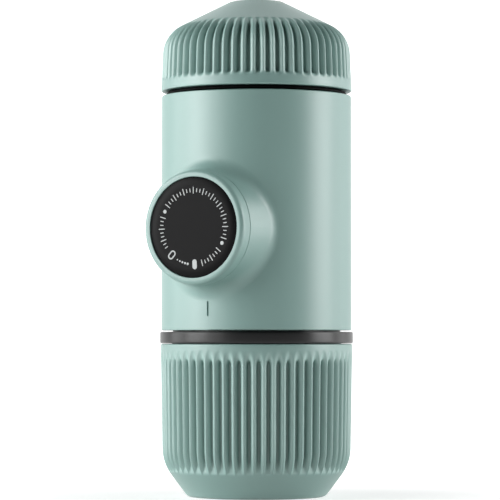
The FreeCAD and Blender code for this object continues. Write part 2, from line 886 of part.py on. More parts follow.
def main_shell():
    """Smooth outer shell of the body with the round boss that carries the knob."""
    outer = turned([
        (0, body_bottom),
        (body_radius, body_bottom, body_edge_round),
        (body_radius, body_top, body_edge_round),
        (0, body_top),
    ])
    root = body_radius - boss_root_depth
    root_radius = boss_face_radius + (boss_face_distance - root) * math.tan(math.radians(boss_slope))
    boss = on_pump_axis(turned([
        (0, root), (root_radius, root),
        (boss_face_radius, boss_face_distance, boss_edge_round), (0, boss_face_distance),
    ]))
    joined = outer.fuse(boss)
    meeting = [edge for edge in joined.Edges if on_boss_root(edge)]
    joined = joined.makeFillet(boss_fillet, meeting)
    hollow = disc(body_inside_radius, body_bottom, body_top)
    bore = disc(guide_radius + running_fit, 0, boss_face_distance - boss_lip_thickness)
    mouth = disc(skirt_radius + sliding_gap + seat_gap, 0, knob_face_distance)
    groove_bottom = body_bottom + index_groove_rise
    groove = block(-index_groove_width / 2, index_groove_width / 2,
                   -body_radius - index_groove_depth, -body_radius + index_groove_depth,
                   groove_bottom, groove_bottom + index_groove_length)
    end_edges = [edge for edge in groove.Edges if edge.BoundBox.YLength > index_groove_depth]
    groove = groove.makeFillet(index_groove_round, end_edges)
    return joined.cut([hollow, on_pump_axis(bore.fuse(mouth)), groove])


def on_boss_root(edge):
    """True for the curve where the boss's flank meets the round body."""
    box = edge.BoundBox
    on_body = all(abs(math.hypot(v.X, v.Y) - body_radius) < running_fit for v in edge.Vertexes)
    curved = min(box.YLength, box.ZLength) > body_edge_round
    return on_body and curved and box.YMax < 0


# ======================= Knob guide and frame =======================

def pump_screw_angles():
    """Angles of the screws about the pump's axis, between the guide's pockets."""
    first = lug_first_angle + unlock_angle
    return [first + i * FULL_TURN / pump_screw_count for i in range(pump_screw_count)]


def pump_axis_holes(radius, low, high):
    """Cutters for the pump screws, along the pump's axis."""
    return [turned_by(moved(disc(radius, low, high), x=pump_screw_pitch_radius), angle)
            for angle in pump_screw_angles()]


def wedge(inner_radius, outer_radius, bottom, top, span):
    """Ring sector about Z that starts at the X axis."""
    sector = Part.makeCylinder(outer_radius, top - bottom, vec(0, 0, bottom), vec(0, 0, 1), span)
    return sector.cut(disc(inner_radius, bottom, top))


def knob_guide():
    """Sleeve in the boss that the knob's skirt turns and slides in."""
    sleeve = tube(guide_bore_radius, guide_radius, guide_rear, guide_front)
    end_wall = tube(barrel_cap_spigot_radius + thread_gap, guide_radius, guide_rear, guide_wall_front)
    pocket_span = skirt_lug_span + unlock_angle + 2 * pocket_margin_angle
    pocket_radius = guide_radius - guide_pocket_wall
    pocket = wedge(skirt_radius, pocket_radius, guide_wall_front, guide_front, pocket_span)
    first = lug_first_angle - skirt_lug_span / 2 - pocket_margin_angle
    pockets = around(pocket, lug_count, first)
    holes = pump_axis_holes(screw_pass_radius, guide_rear, guide_wall_front)
    return on_pump_axis(sleeve.fuse(end_wall).cut(pockets + holes))


def pump_screws():
    """Screws from the guide's end wall through the frame into the barrel's flange."""
    one = moved(screw(screw_length), pump_screw_pitch_radius, 0, guide_wall_front)
    return [on_pump_axis(turned_by(one, angle)) for angle in pump_screw_angles()]


def pump_frame():
    """Rectangular frame that ties the two sockets together and carries the pump."""
    low = head_plate_top + seat_gap
    high = bulkhead_bottom - seat_gap
    outer = block(-frame_half_width, frame_half_width,
                  -frame_front_distance, frame_back_distance, low, high)
    inner_half = frame_half_width - frame_wall
    inner = block(-inner_half, inner_half, -frame_front_inside, frame_back_inside, low, high)
    nose = on_pump_axis(disc(barrel_radius + running_fit, 0, frame_front_distance))
    holes = [on_pump_axis(hole) for hole in pump_axis_holes(screw_pass_radius, 0, frame_front_distance)]
    frame = outer.cut(inner).cut([nose] + holes)
    low_ear = head_plate_top + ear_boss_height
    high_ear = bulkhead_bottom - ear_boss_height - ear_thickness
    ears = []
    for x, y in ear_places():
        for z in (low_ear, high_ear):
            pad = moved(disc(ear_radius, z, z + ear_thickness), x, y)
            inner_x = math.copysign(inner_half, x)
            bridge = block(min(x, inner_x), max(x, inner_x),
                           y - ear_radius, y + ear_radius, z, z + ear_thickness)
            hole = moved(disc(screw_pass_radius, z, z + ear_thickness), x, y)
            ears.append(pad.fuse(bridge).cut(hole))
    return frame.fuse(ears)


def frame_screws():
    """Eight equal screws that hold the frame's ears to the sockets' bosses."""
    screws = []
    low_seat = head_plate_top + ear_boss_height + ear_thickness
    high_seat = bulkhead_bottom - ear_boss_height - ear_thickness
    for x, y in ear_places():
        screws.append(moved(screw(screw_length), x, y, low_seat))
        screws.append(moved(upside_down(screw(screw_length), 0), x, y, high_seat))
    return screws


# ======================= Pump =======================

def pump_barrel():
    """Cylinder that the piston slides in, flanged to the back of the frame's front wall."""
    wall = tube(barrel_bore_radius, barrel_radius, -barrel_rear_distance, barrel_front)
    flange = tube(barrel_bore_radius, barrel_flange_radius,
                  barrel_flange_front - barrel_flange_thickness, barrel_flange_front)
    holes = pump_axis_holes(screw_thread_radius, 0, frame_front_distance)
    return on_pump_axis(wall.fuse(flange).cut(holes))


def barrel_cap():
    """Bearing cap in the barrel's front end that steadies the rod."""
    plug_radius = barrel_bore_radius - running_fit
    return on_pump_axis(turned([
        (rod_radius + running_fit, barrel_front - barrel_cap_plug),
        (plug_radius, barrel_front - barrel_cap_plug),
        (plug_radius, barrel_front + running_fit),
        (barrel_radius, barrel_front + running_fit),
        (barrel_radius, frame_front_distance),
        (barrel_cap_spigot_radius, frame_front_distance),
        (barrel_cap_spigot_radius, frame_front_distance + barrel_cap_spigot_length, soft_edge),
        (rod_radius + running_fit, frame_front_distance + barrel_cap_spigot_length),
    ]))


def barrel_seal():
    """Flat ring between the barrel's rear end and the valve block."""
    rear = -barrel_rear_distance - running_fit
    inner = barrel_bore_radius + edge_break
    return on_pump_axis(tube(inner, barrel_radius - edge_break, rear - barrel_seal_thickness, rear))


def piston():
    """Piston with a groove for its seal."""
    radius = barrel_bore_radius - running_fit
    groove = radius - piston_seal_depth
    low = piston_middle - piston_seal_width / 2
    high = piston_middle + piston_seal_width / 2
    bore = rod_tip_radius + running_fit
    return on_pump_axis(turned([
        (0, piston_rear), (radius, piston_rear, edge_break), (radius, low), (groove, low),
        (groove, high), (radius, high), (radius, piston_front, edge_break), (bore, piston_front),
        (bore, rod_tip_end), (0, rod_tip_end),
    ]))


def piston_seal():
    """Silicone ring in the piston's groove that wipes the barrel."""
    lip = barrel_bore_radius - running_fit + piston_seal_proud
    half = piston_seal_width / 2 - running_fit
    root = barrel_bore_radius - piston_seal_depth
    return on_pump_axis(turned([
        (root, piston_middle - half), (lip, piston_middle - half, edge_break),
        (lip, piston_middle + half, edge_break), (root, piston_middle + half),
    ]))


def plunger_rod():
    """Steel rod from the piston to the knob, with a head that the knob turns on."""
    tip = rod_tip_end + seat_gap
    return on_pump_axis(turned([
        (0, tip), (rod_tip_radius, tip), (rod_tip_radius, piston_front),
        (rod_radius, piston_front), (rod_radius, rod_head_rear),
        (rod_head_radius, rod_head_rear), (rod_head_radius, rod_head_front, edge_break),
        (0, rod_head_front),
    ]))


def return_spring():
    """Coil spring that pushes the unlocked knob out."""
    return on_pump_axis(helix_spring(return_spring_radius, return_spring_wire, return_spring_turns,
                                     guide_wall_front, skirt_plate_rear))


# ======================= Valve block and water tubes =======================

def tube_levels():
    """Ends of the inlet tube and of the outlet tube, inside their sockets."""
    block_top = pump_height + block_half_height
    block_low = pump_height - block_half_height
    inset = tube_socket_depth - tube_seal_thickness - seat_gap
    inlet = (block_top - inset, bulkhead_bottom + bulkhead_socket_depth - tube_seal_thickness - seat_gap)
    outlet = (group_head_top + group_boss_height - inset + seat_gap, block_low + inset)
    return inlet, outlet


def valve_block():
    """Block behind the barrel that holds the inlet and outlet valves."""
    low = pump_height - block_half_height
    high = pump_height + block_half_height
    body = block(-block_half_width, block_half_width, block_front, block_back, low, high)
    upright = [edge for edge in body.Edges if edge.BoundBox.ZLength > block_half_height]
    body = body.makeFillet(block_edge_round, upright)
    recess = disc(barrel_radius + running_fit, -block_front - block_socket_depth, -block_front)
    chamber = disc(block_chamber_radius, -port_distance, -block_front)
    shaft = moved(disc(port_radius, low, high), y=port_distance)
    cutters = [on_pump_axis(recess.fuse(chamber)), shaft]
    for end, direction in ((high, -1), (low, 1)):
        socket_end = end + direction * tube_socket_depth
        room_end = socket_end + direction * flap_room
        for radius, stop in ((tube_socket_radius, socket_end), (flap_radius + ring_gap, room_end)):
            cutters.append(moved(disc(radius, min(end, stop), max(end, stop)), y=port_distance))
    return body.cut(cutters)


def flap_valve():
    """Silicone mushroom valve with its flap on top of the origin and its stem below."""
    return turned([
        (0, -flap_stem_length), (flap_stem_radius, -flap_stem_length, edge_break), (flap_stem_radius, 0),
        (flap_radius, 0), (flap_radius, flap_thickness / 2), (flap_stem_radius, flap_thickness),
        (0, flap_thickness),
    ])


def inlet_valve():
    """Non-return valve between the tank and the pump."""
    seat = pump_height + block_half_height - tube_socket_depth - flap_room + seat_gap
    return moved(flap_valve(), y=port_distance, z=seat)


def outlet_valve():
    """Non-return valve between the pump and the group."""
    seat = pump_height - block_half_height + tube_socket_depth + flap_room - seat_gap
    return moved(upside_down(flap_valve(), 0), y=port_distance, z=seat)


def water_tube(ends):
    """Straight tube between two heights, behind the pump."""
    return moved(tube(tube_bore_radius, tube_radius, ends[0], ends[1]), y=port_distance)


def inlet_tube():
    """Tube from the tank's bulkhead down to the valve block."""
    return water_tube(tube_levels()[0])


def outlet_tube():
    """Tube from the valve block down to the group head."""
    return water_tube(tube_levels()[1])


def tube_seals():
    """Four equal silicone rings at the ends of the two water tubes."""
    ring = tube(tube_bore_radius + seat_gap, tube_radius - seat_gap, 0, tube_seal_thickness)
    inlet, outlet = tube_levels()
    starts = [inlet[0] - tube_seal_thickness - running_fit, inlet[1] + running_fit,
              outlet[0] - tube_seal_thickness - running_fit, outlet[1] + running_fit]
    return [moved(ring, y=port_distance, z=start) for start in starts]


def inlet_filter():
    """Fine mesh disc in the tank's floor."""
    bottom = bulkhead_top - filter_thickness - running_fit
    top = bottom + filter_thickness
    plate = disc(filter_radius, bottom, top)
    hole = moved(disc(screen_hole_radius, bottom, top), x=filter_radius / 2)
    return moved(plate.cut(around(hole, filter_hole_count)), y=port_distance)


# ======================= Knob =======================

def knob_shell():
    """Round cap of the knob, recessed in front for the dial disc."""
    inner = knob_radius - knob_side_wall
    cap = turned([
        (0, knob_plate_rear),
        (inner, knob_plate_rear, knob_inside_round),
        (inner, knob_wall_rear),
        (knob_radius, knob_wall_rear, knob_rear_round),
        (knob_radius, knob_face_distance, knob_edge_round),
        (disc_radius + running_fit, knob_face_distance, disc_edge_round),
        (disc_radius + running_fit, knob_plate_front),
        (0, knob_plate_front),
    ])
    hub_bore = rod_head_radius + ring_gap
    hub = tube(hub_bore, hub_bore + knob_hub_wall, skirt_plate_front, knob_plate_rear)
    post = moved(disc(knob_post_radius, skirt_plate_front, knob_plate_rear), x=knob_screw_pitch_radius)
    hole_end = knob_plate_front - knob_screw_cover + ring_gap
    hole = moved(disc(screw_thread_radius, skirt_plate_front, hole_end), x=knob_screw_pitch_radius)
    posts = around(post, lug_count, lug_first_angle)
    return on_pump_axis(cap.fuse([hub] + posts).cut(around(hole, lug_count, lug_first_angle)))


def knob_disc():
    """Dark dial disc set into the knob's face."""
    return on_pump_axis(turned([
        (0, knob_plate_front), (disc_radius, knob_plate_front),
        (disc_radius, knob_plate_front + disc_thickness, disc_edge_round),
        (0, knob_plate_front + disc_thickness),
    ]))


def knob_skirt():
    """Hollow stem of the knob with three lugs that run in the guide's pockets."""
    sleeve = tube(skirt_radius - skirt_wall, skirt_radius, skirt_rear, skirt_plate_front)
    plate = tube(rod_radius + seat_gap, skirt_radius, skirt_plate_rear, skirt_plate_front)
    lug = wedge(skirt_radius - skirt_wall / 2, skirt_radius + skirt_lug_height,
                skirt_rear, skirt_rear + skirt_lug_length, skirt_lug_span)
    lugs = around(lug, lug_count, lug_first_angle - skirt_lug_span / 2)
    hole = moved(disc(screw_pass_radius, skirt_plate_rear, skirt_plate_front), x=knob_screw_pitch_radius)
    return on_pump_axis(sleeve.fuse([plate] + lugs).cut(around(hole, lug_count, lug_first_angle)))


def knob_screws():
    """Three screws from inside the skirt into the knob's cap."""
    length = knob_plate_front - knob_screw_cover - skirt_plate_rear
    one = moved(upside_down(screw(length), 0), knob_screw_pitch_radius, 0, skirt_plate_rear)
    return [on_pump_axis(copy) for copy in around(one, lug_count, lug_first_angle)]


# ======================= Tank =======================

def cover_corners():
    """Outline values of the tank cover: shoulder corner radius and height, and plateau height."""
    draft = math.tan(math.radians(cover_draft))
    slope = math.tan(math.radians(cover_slope))
    # The drafted wall and the sloping roof meet at one height above the cover's rim.
    shoulder_rise = (cover_height - (cover_rim_radius - cover_plateau_radius) * slope) / (1 - draft * slope)
    shoulder_radius = cover_rim_radius - shoulder_rise * draft
    return shoulder_radius, cover_bottom + shoulder_rise


def cover_flute():
    """Cutter for one flute that climbs the wall, follows the shoulder and fades out on the roof."""
    floor_radius = cover_corners()[0] - flute_depth
    bottom = cover_bottom + cover_flute_rise
    roof = math.tan(math.radians(cover_floor_slope))
    exit_height = plateau_height - cover_flute_fade_drop
    exit_radius = cover_plateau_radius + cover_flute_fade_drop / math.tan(math.radians(cover_slope))
    turn_height = exit_height - (floor_radius - exit_radius) * roof
    outside = floor_radius + flute_reach
    profile = outline_face([
        (floor_radius + cover_flute_foot_lean, bottom),
        (floor_radius, turn_height, cover_shoulder_round - flute_depth),
        (exit_radius - cover_flute_overrun, exit_height + cover_flute_overrun * roof),
        (exit_radius, exit_height + flute_reach),
        (outside, exit_height),
        (outside, bottom),
    ])
    slot = moved(profile.extrude(vec(0, flute_width, 0)), y=-flute_width / 2)
    rounded = [edge for edge in slot.Edges
               if on_flute_floor(edge, floor_radius) or on_flute_foot(edge, floor_radius, bottom)]
    return slot.makeFillet(flute_corner, rounded)


def on_flute_foot(edge, floor_radius, bottom):
    """True for the edges round the flat lower end of a cover flute's cutter, but for the outermost."""
    box = edge.BoundBox
    return box.ZMax < bottom + TOUCH and box.XMin < floor_radius + flute_depth / 2


def tank_cover():
    """Fluted dome over the water tank with a small nub in the middle of its roof."""
    shoulder_radius, shoulder_height = cover_corners()
    inner_slope = math.tan(math.radians(cover_slope))
    inner_rim = cover_rim_radius - cover_wall
    inner_shoulder = shoulder_radius - cover_wall
    inner_plateau = plateau_height - cover_wall
    drop = (inner_shoulder - cover_plateau_radius) * inner_slope
    groove_outer = nub_radius + nub_groove_width
    shell = turned([
        (0, inner_plateau),
        (cover_plateau_radius, inner_plateau, cover_plateau_round),
        (inner_shoulder, inner_plateau - drop, cover_shoulder_round - cover_wall),
        (inner_rim, cover_bottom),
        (cover_rim_radius, cover_bottom, cover_rim_round),
        (shoulder_radius, shoulder_height, cover_shoulder_round),
        (cover_plateau_radius, plateau_height, cover_plateau_round / 2),
        (groove_outer, plateau_height, nub_groove_slant / 2),
        (groove_outer - nub_groove_slant, plateau_height - nub_groove_depth),
        (nub_radius, plateau_height - nub_groove_depth),
        (nub_radius, plateau_height + nub_rise, nub_round),
        (0, plateau_height + nub_rise),
    ])
    return shell.cut(around(cover_flute(), flute_count))


def vessel_corners():
    """Outline values of the vessel's roof: shoulder radius and height, roof radius and height."""
    shoulder_radius = cover_corners()[0]
    roof = plateau_height - cover_wall - vessel_roof_gap
    shoulder = shoulder_radius - cover_wall - vessel_cover_gap
    slope = math.tan(math.radians(cover_slope))
    height = roof - (shoulder - cover_plateau_radius) * slope
    return shoulder, height, cover_plateau_radius, roof


def tank_vessel():
    """Water vessel inside the cover, open at the bottom, with the threaded neck."""
    shoulder, shoulder_height, roof_radius, roof = vessel_corners()
    rim = cover_rim_radius - cover_wall - vessel_cover_gap
    round_outer = cover_shoulder_round - cover_wall
    bead_low = (body_top + cover_bottom - vessel_bead_thickness) / 2
    neck_bore = neck_radius - vessel_wall
    body = turned([
        (neck_bore, tank_neck_mouth, soft_edge),
        (neck_radius, tank_neck_mouth, soft_edge),
        (neck_radius, body_top),
        (collar_radius, body_top),
        (collar_radius, bead_low),
        (vessel_bead_radius, bead_low, vessel_bead_round),
        (vessel_bead_radius, bead_low + vessel_bead_thickness, vessel_bead_round),
        (collar_radius, bead_low + vessel_bead_thickness),
        (collar_radius, cover_bottom),
        (rim, cover_bottom),
        (shoulder, shoulder_height, round_outer),
        (roof_radius, roof, vessel_inside_round),
        (air_stem_radius, roof),
        (air_stem_radius, roof - vessel_wall),
        (roof_radius, roof - vessel_wall, vessel_inside_round),
        (shoulder - vessel_wall, shoulder_height - vessel_wall, round_outer - vessel_wall),
        (rim - vessel_wall, cover_bottom + vessel_wall, vessel_inside_round),
        (neck_bore, body_top, vessel_inside_round),
    ])
    ridges = thread_ridges(neck_radius - ridge_root, neck_radius + ridge_height,
                           tank_neck_mouth + tank_ridge_rise, 0)
    return body.fuse(ridges)


def air_valve():
    """Silicone valve in the vessel's roof that lets air in as the water leaves."""
    roof = vessel_corners()[3]
    under = roof - vessel_wall - running_fit
    stem = air_stem_radius - running_fit
    return turned([
        (0, under - air_flap_thickness), (air_flap_radius / 2, under - air_flap_thickness),
        (air_flap_radius, under - air_flap_edge), (air_flap_radius, under), (stem, under),
        (stem, roof + running_fit), (air_bulb_radius, roof + running_fit),
        (air_bulb_radius, roof + air_bulb_height / 2, edge_break), (0, roof + air_bulb_height),
    ])


def tank_gasket():
    """Flat silicone ring under the mouth of the tank's neck."""
    return tube(neck_radius - tank_gasket_width, neck_radius, tank_gasket_bottom, tank_gasket_top)


# ======================= Output =======================

PIECES = [
    cup, outlet_head, cup_seal, spout_cap, crema_valve, crema_spring, filter_basket, basket_screen, scoop,
    group_gasket, group_head, shower_screen, shower_screw, head_socket, tank_socket, main_shell,
    knob_guide, pump_screws, pump_frame, frame_screws, pump_barrel, barrel_cap, barrel_seal,
    piston, piston_seal, plunger_rod, return_spring, valve_block, inlet_valve, outlet_valve,
    inlet_tube, outlet_tube, tube_seals, inlet_filter, knob_shell, knob_disc, knob_skirt, knob_screws,
    tank_cover, tank_vessel, air_valve, tank_gasket,
]


def save(piece):
    """Write one piece, or one group of equal pieces, to its own STEP file."""
    made = piece()
    solids = [solid for shape in (made if isinstance(made, list) else [made]) for solid in shape.Solids]
    shape = solids[0] if len(solids) == 1 else Part.makeCompound(solids)
    shape.exportStep(os.path.join("parts", piece.__name__ + ".step"))
    sound = all(solid.isValid() for solid in solids)
    print(f"{piece.__name__}: {len(solids)} solid(s), {shape.Volume:.1f} mm3, valid {sound}")


os.makedirs("parts", exist_ok=True)
for piece in PIECES:
    save(piece)
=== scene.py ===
# %% [markdown]
# A handheld espresso maker, dressed and lit
#
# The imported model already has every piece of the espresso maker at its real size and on
# its moving body. This script leaves those pieces where they are. It gives each one a
# finish, and it makes anew the few pieces whose surface decides the look: the two fluted
# shells of cup and tank, the ring between cup and body, the knob's dial and the marks
# printed on it. The fluted shells are worked out as whole grids of points, so each rib can
# fade softly where a cut solid would end in a hard line.

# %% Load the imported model
import math

import bpy
import numpy as np
from mathutils import Matrix


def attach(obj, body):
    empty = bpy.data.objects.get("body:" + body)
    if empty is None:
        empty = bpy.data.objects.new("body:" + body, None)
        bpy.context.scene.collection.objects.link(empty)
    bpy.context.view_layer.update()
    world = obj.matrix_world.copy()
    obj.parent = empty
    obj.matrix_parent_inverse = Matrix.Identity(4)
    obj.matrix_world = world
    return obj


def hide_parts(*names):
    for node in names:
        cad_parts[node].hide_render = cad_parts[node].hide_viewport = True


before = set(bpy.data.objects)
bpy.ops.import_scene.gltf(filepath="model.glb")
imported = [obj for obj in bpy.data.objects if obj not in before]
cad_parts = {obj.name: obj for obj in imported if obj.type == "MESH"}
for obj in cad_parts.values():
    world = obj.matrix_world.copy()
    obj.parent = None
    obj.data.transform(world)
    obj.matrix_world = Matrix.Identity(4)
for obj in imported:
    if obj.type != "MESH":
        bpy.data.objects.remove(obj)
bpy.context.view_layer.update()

# %% [markdown]
# Sizes
#
# All lengths are written in millimetres, as on a drawing, and turned to metres once, when
# points become a mesh. The heights count up from the table that the cup stands on.

# %% Sizes in millimetres
MM = 0.001

FLUTES = 60
FLUTE_DEPTH = 1.8
FLUTE_SOFTNESS = 0.08
RIB_RADIUS = 0.1
RIB_FLANK = 0.8
RIB_LEAN = math.radians(37)
WALL_LEAN = math.radians(78)
CUP_FLUTES_TURN = math.radians(1.35)
COVER_FLUTES_TURN = math.radians(0.9)

CUP_HEIGHT = 47.8
CUP_RIM_RADIUS = 30.1
CUP_SHOULDER_RADIUS = 29.5
CUP_SHOULDER_HEIGHT = 10.48
CUP_FOOT_RADIUS = 21.6

COVER_BOTTOM = 127.1
COVER_RIM_RADIUS = 30.0
COVER_SHOULDER_RADIUS = 29.23
PLATEAU_HEIGHT = 155.4
PLATEAU_RADIUS = 8.4

PLATEAU_DIP = 0.3
NUB_RISE = 0.6
NUB_RADIUS = 4.8

FLANGE_INNER_RADIUS = 26.0
FLANGE_RADIUS = 30.3
FLANGE_BOTTOM = CUP_HEIGHT + 0.15
FLANGE_TOP = 51.6
FLANGE_EDGE_ROUND = 0.45
FLANGE_COLUMNS = 240

PUMP_HEIGHT = 83.2
DISC_REAR = 37.4
DISC_RADIUS = 15.35
DISC_THICKNESS = 0.95
DISC_EDGE_BREAK = 0.16
DISC_COLUMNS = 160

print("whole height:", PLATEAU_HEIGHT + NUB_RISE, "mm, cup:", CUP_HEIGHT, "mm")

# %% [markdown]
# Outlines with rounded corners
#
# A turned shape is an outline swung round an axis. It is easiest to think of an outline
# as a few sharp corners, each with its own rounding, as a turner's drawing gives them.
# The function below walks along such a list and lays points on it, closer together where
# the surface bends or where a flute starts and ends.

# %% Outline helper
STEEPEST_STEP = math.radians(12)


def unit(vector):
    """The same direction with length one: the vector over its length."""
    return vector / np.linalg.norm(vector)


def straight(start, end, step):
    """Evenly spaced points after the start up to the end, no further apart than the step."""
    count = max(1, math.ceil(np.linalg.norm(end - start) / step))
    share = np.arange(1, count + 1)[:, None] / count
    return start + (end - start) * share


def rounded_outline(corners):
    """Points along an outline in the (radius, height) plane.

    Each corner is (radius, height, rounding, step). A rounding R becomes an arc that
    touches both sides at R / tan(a) from the corner, where a is half the corner's
    angle, and whose centre is R / sin(a) from it. Between the first spoke v and the last
    spoke w, a turn of t apart, the arc's points are (sin(t - s) v + sin(s) w) / sin(t)."""
    spots = [np.array(corner[:2], dtype=float) for corner in corners]
    runs = [spots[0][None]]
    for i in range(1, len(corners)):
        rounding, step = corners[i][2:]
        last = runs[-1][-1]
        if not rounding:
            runs.append(straight(last, spots[i], step))
            continue
        back = unit(spots[i - 1] - spots[i])
        on = unit(spots[i + 1] - spots[i])
        half = math.acos(back @ on) / 2
        reach = rounding / math.tan(half)
        centre = spots[i] + unit(back + on) * rounding / math.sin(half)
        turn = math.pi - 2 * half
        runs.append(straight(last, spots[i] + back * reach, step))
        count = math.ceil(max(turn / STEEPEST_STEP, rounding * turn / step))
        swing = turn * np.arange(1, count + 1)[:, None] / count
        first_spoke = spots[i] + back * reach - centre
        last_spoke = spots[i] + on * reach - centre
        arc = (np.sin(turn - swing) * first_spoke + np.sin(swing) * last_spoke) / math.sin(turn)
        runs.append(centre + arc)
    return np.concatenate(runs)


def outline_normals(points):
    """Unit normals on the right-hand side of the way along an outline.

    The way is the slope of the points over the length walked, (dr, dz), and the normal
    is that turned a quarter to the right, (dz, -dr)."""
    walked = np.concatenate([[0], np.cumsum(np.linalg.norm(np.diff(points, axis=0), axis=1))])
    way = np.gradient(points, walked, axis=0)
    way /= np.linalg.norm(way, axis=1, keepdims=True)
    return np.stack([way[:, 1], -way[:, 0]], axis=1)


# %% [markdown]
# From rings of points to a closed skin
#
# Once an outline has been swung round, its points form a grid: one ring for each point of
# the outline. Neighbouring rings are joined by four-sided faces. The skin of a whole body
# has its first and last ring shrunk to single points, and the skin of a ring has its last
# ring of points joined to its first, so neither has a seam or a hole.

# %% Mesh helpers
def swung(outline, columns):
    """An outline swung round Z: (r, h) goes to (r cos a, r sin a, h) at evenly spaced angles a."""
    angle = np.arange(columns) * 2 * np.pi / columns
    radius = outline[:, :1]
    height = np.broadcast_to(outline[:, 1:], (len(outline), columns))
    return np.stack([radius * np.cos(angle), radius * np.sin(angle), height], axis=-1)


def closed_skin(name, rings, values=None):
    """A closed mesh over rings of points in millimetres, from pole to pole.

    Point j of ring i has number i * columns + j. A face takes j and j + 1 of ring i,
    then j + 1 and j of ring i + 1, with j + 1 counted round the ring, which makes it
    look outwards. The two poles come last and carry a fan of triangles each."""
    inner = rings[1:-1]
    count, columns = inner.shape[:2]
    here = np.arange(count * columns).reshape(count, columns)
    beside = np.roll(here, -1, axis=1)
    quads = np.stack([here[:-1], beside[:-1], beside[1:], here[1:]], axis=-1).reshape(-1, 4)
    first_pole = np.full(columns, count * columns)
    first_fan = np.stack([beside[0], here[0], first_pole], axis=1)
    last_fan = np.stack([here[-1], beside[-1], first_pole + 1], axis=1)
    points = np.concatenate([inner.reshape(-1, 3), rings[0][:1], rings[-1][:1]]) * MM
    mesh = bpy.data.meshes.new(name)
    mesh.from_pydata(points.tolist(), [], quads.tolist() + first_fan.tolist() + last_fan.tolist())
    mesh.shade_smooth()
    if values is not None:
        layer = mesh.attributes.new("flute", "FLOAT", "POINT")
        layer.data.foreach_set("value", np.append(values[1:-1].ravel(), [0, 0]).astype(np.float32))
    print(name, "has", len(mesh.polygons), "faces")
    return mesh


def closed_ring(name, outline, columns):
    """A closed ring: an anticlockwise outline swung round Z and joined to itself both ways."""
    here = np.arange(len(outline) * columns).reshape(len(outline), columns)
    beside = np.roll(here, -1, axis=1)
    quads = np.stack([here, beside, np.roll(beside, -1, axis=0), np.roll(here, -1, axis=0)], axis=-1)
    points = swung(outline, columns).reshape(-1, 3) * MM
    mesh = bpy.data.meshes.new(name)
    mesh.from_pydata(points.tolist(), [], quads.reshape(-1, 4).tolist())
    mesh.shade_smooth()
    print(name, "has", len(mesh.polygons), "faces")
    return mesh


def add_piece(name, mesh, material, body, node=None):
    """Show a mesh as a piece of the object: it moves with a body and may stand for a node."""
    piece = bpy.data.objects.new(name, mesh)
    bpy.context.scene.collection.objects.link(piece)
    mesh.materials.append(material)
    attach(piece, body)
    if node:
        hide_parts(node)
    return piece


# %% [markdown]
# Colours and nodes
#
# Screens and paint charts give colours as sRGB hex values, while a renderer adds up light,
# which needs linear values. One function turns the first into the second. A second small
# function adds a shader node, sets it up and wires it, so that each material below reads
# as a list of what the real surface has.

# %% Colour and node helpers
def linear(hex_colour):
    """Linear RGBA from an sRGB hex value: c / 12.92 up to 0.04045, else ((c + 0.055) / 1.055) ** 2.4."""
    srgb = [int(hex_colour[i:i + 2], 16) / 255 for i in (1, 3, 5)]
    return [c / 12.92 if c <= 0.04045 else ((c + 0.055) / 1.055) ** 2.4 for c in srgb] + [1.0]


def add_node(tree, kind, inputs=None, **settings):
    """Add a node. Inputs are values, or the outputs that they are wired to."""
    node = tree.nodes.new(kind)
    for name, value in settings.items():
        setattr(node, name, value)
    for key, value in (inputs or {}).items():
        if isinstance(value, bpy.types.NodeSocket):
            tree.links.new(value, node.inputs[key])
        else:
            node.inputs[key].default_value = value
    return node


def start_material(name):
    """An empty material with a surface shader on its output."""
    material = bpy.data.materials.new(name)
    material.use_nodes = True
    tree = material.node_tree
    tree.nodes.clear()
    output = tree.nodes.new("ShaderNodeOutputMaterial")
    shader = tree.nodes.new("ShaderNodeBsdfPrincipled")
    tree.links.new(shader.outputs["BSDF"], output.inputs["Surface"])
    return material, tree, shader


def set_shader(tree, shader, **inputs):
    """Set or wire the shader's sockets, whose names are written with _ for each space."""
    for key, value in inputs.items():
        socket = shader.inputs[key.replace("_", " ")]
        if isinstance(value, bpy.types.NodeSocket):
            tree.links.new(value, socket)
        else:
            socket.default_value = value


# %% [markdown]
# Moulded plastic
#
# Cup, body, knob and tank cover are injection moulded in ABS. The steel mould was eroded
# by sparks to a fine even grain, so the plastic comes out satin: highlights are broad and
# soft, and they break up slightly. Two things keep it from looking like paint. Resin and
# pigment never mix quite evenly, which gives very faint clouds two centimetres wide, and
# the grain itself is a bump a third of a millimetre wide. On the fluted pieces the ridges
# and upper flanks of the ribs are a paler colour, a painted highlight, and the floors
# between them a darker one, painted shade.
#
# The same recipe with other numbers serves for every plastic piece, so it is one function.

# %% Plastic recipe
CLOUD_WIDTH = 22.0
# Shares of the flutes' depth where the painted highlight on the ribs fades out, and where the painted shade
# on the flute floors comes in.
PAINTED_HIGHLIGHT_DEPTHS = (0.02, 0.12)
SHADED_DEPTHS = (0.45, 0.9)


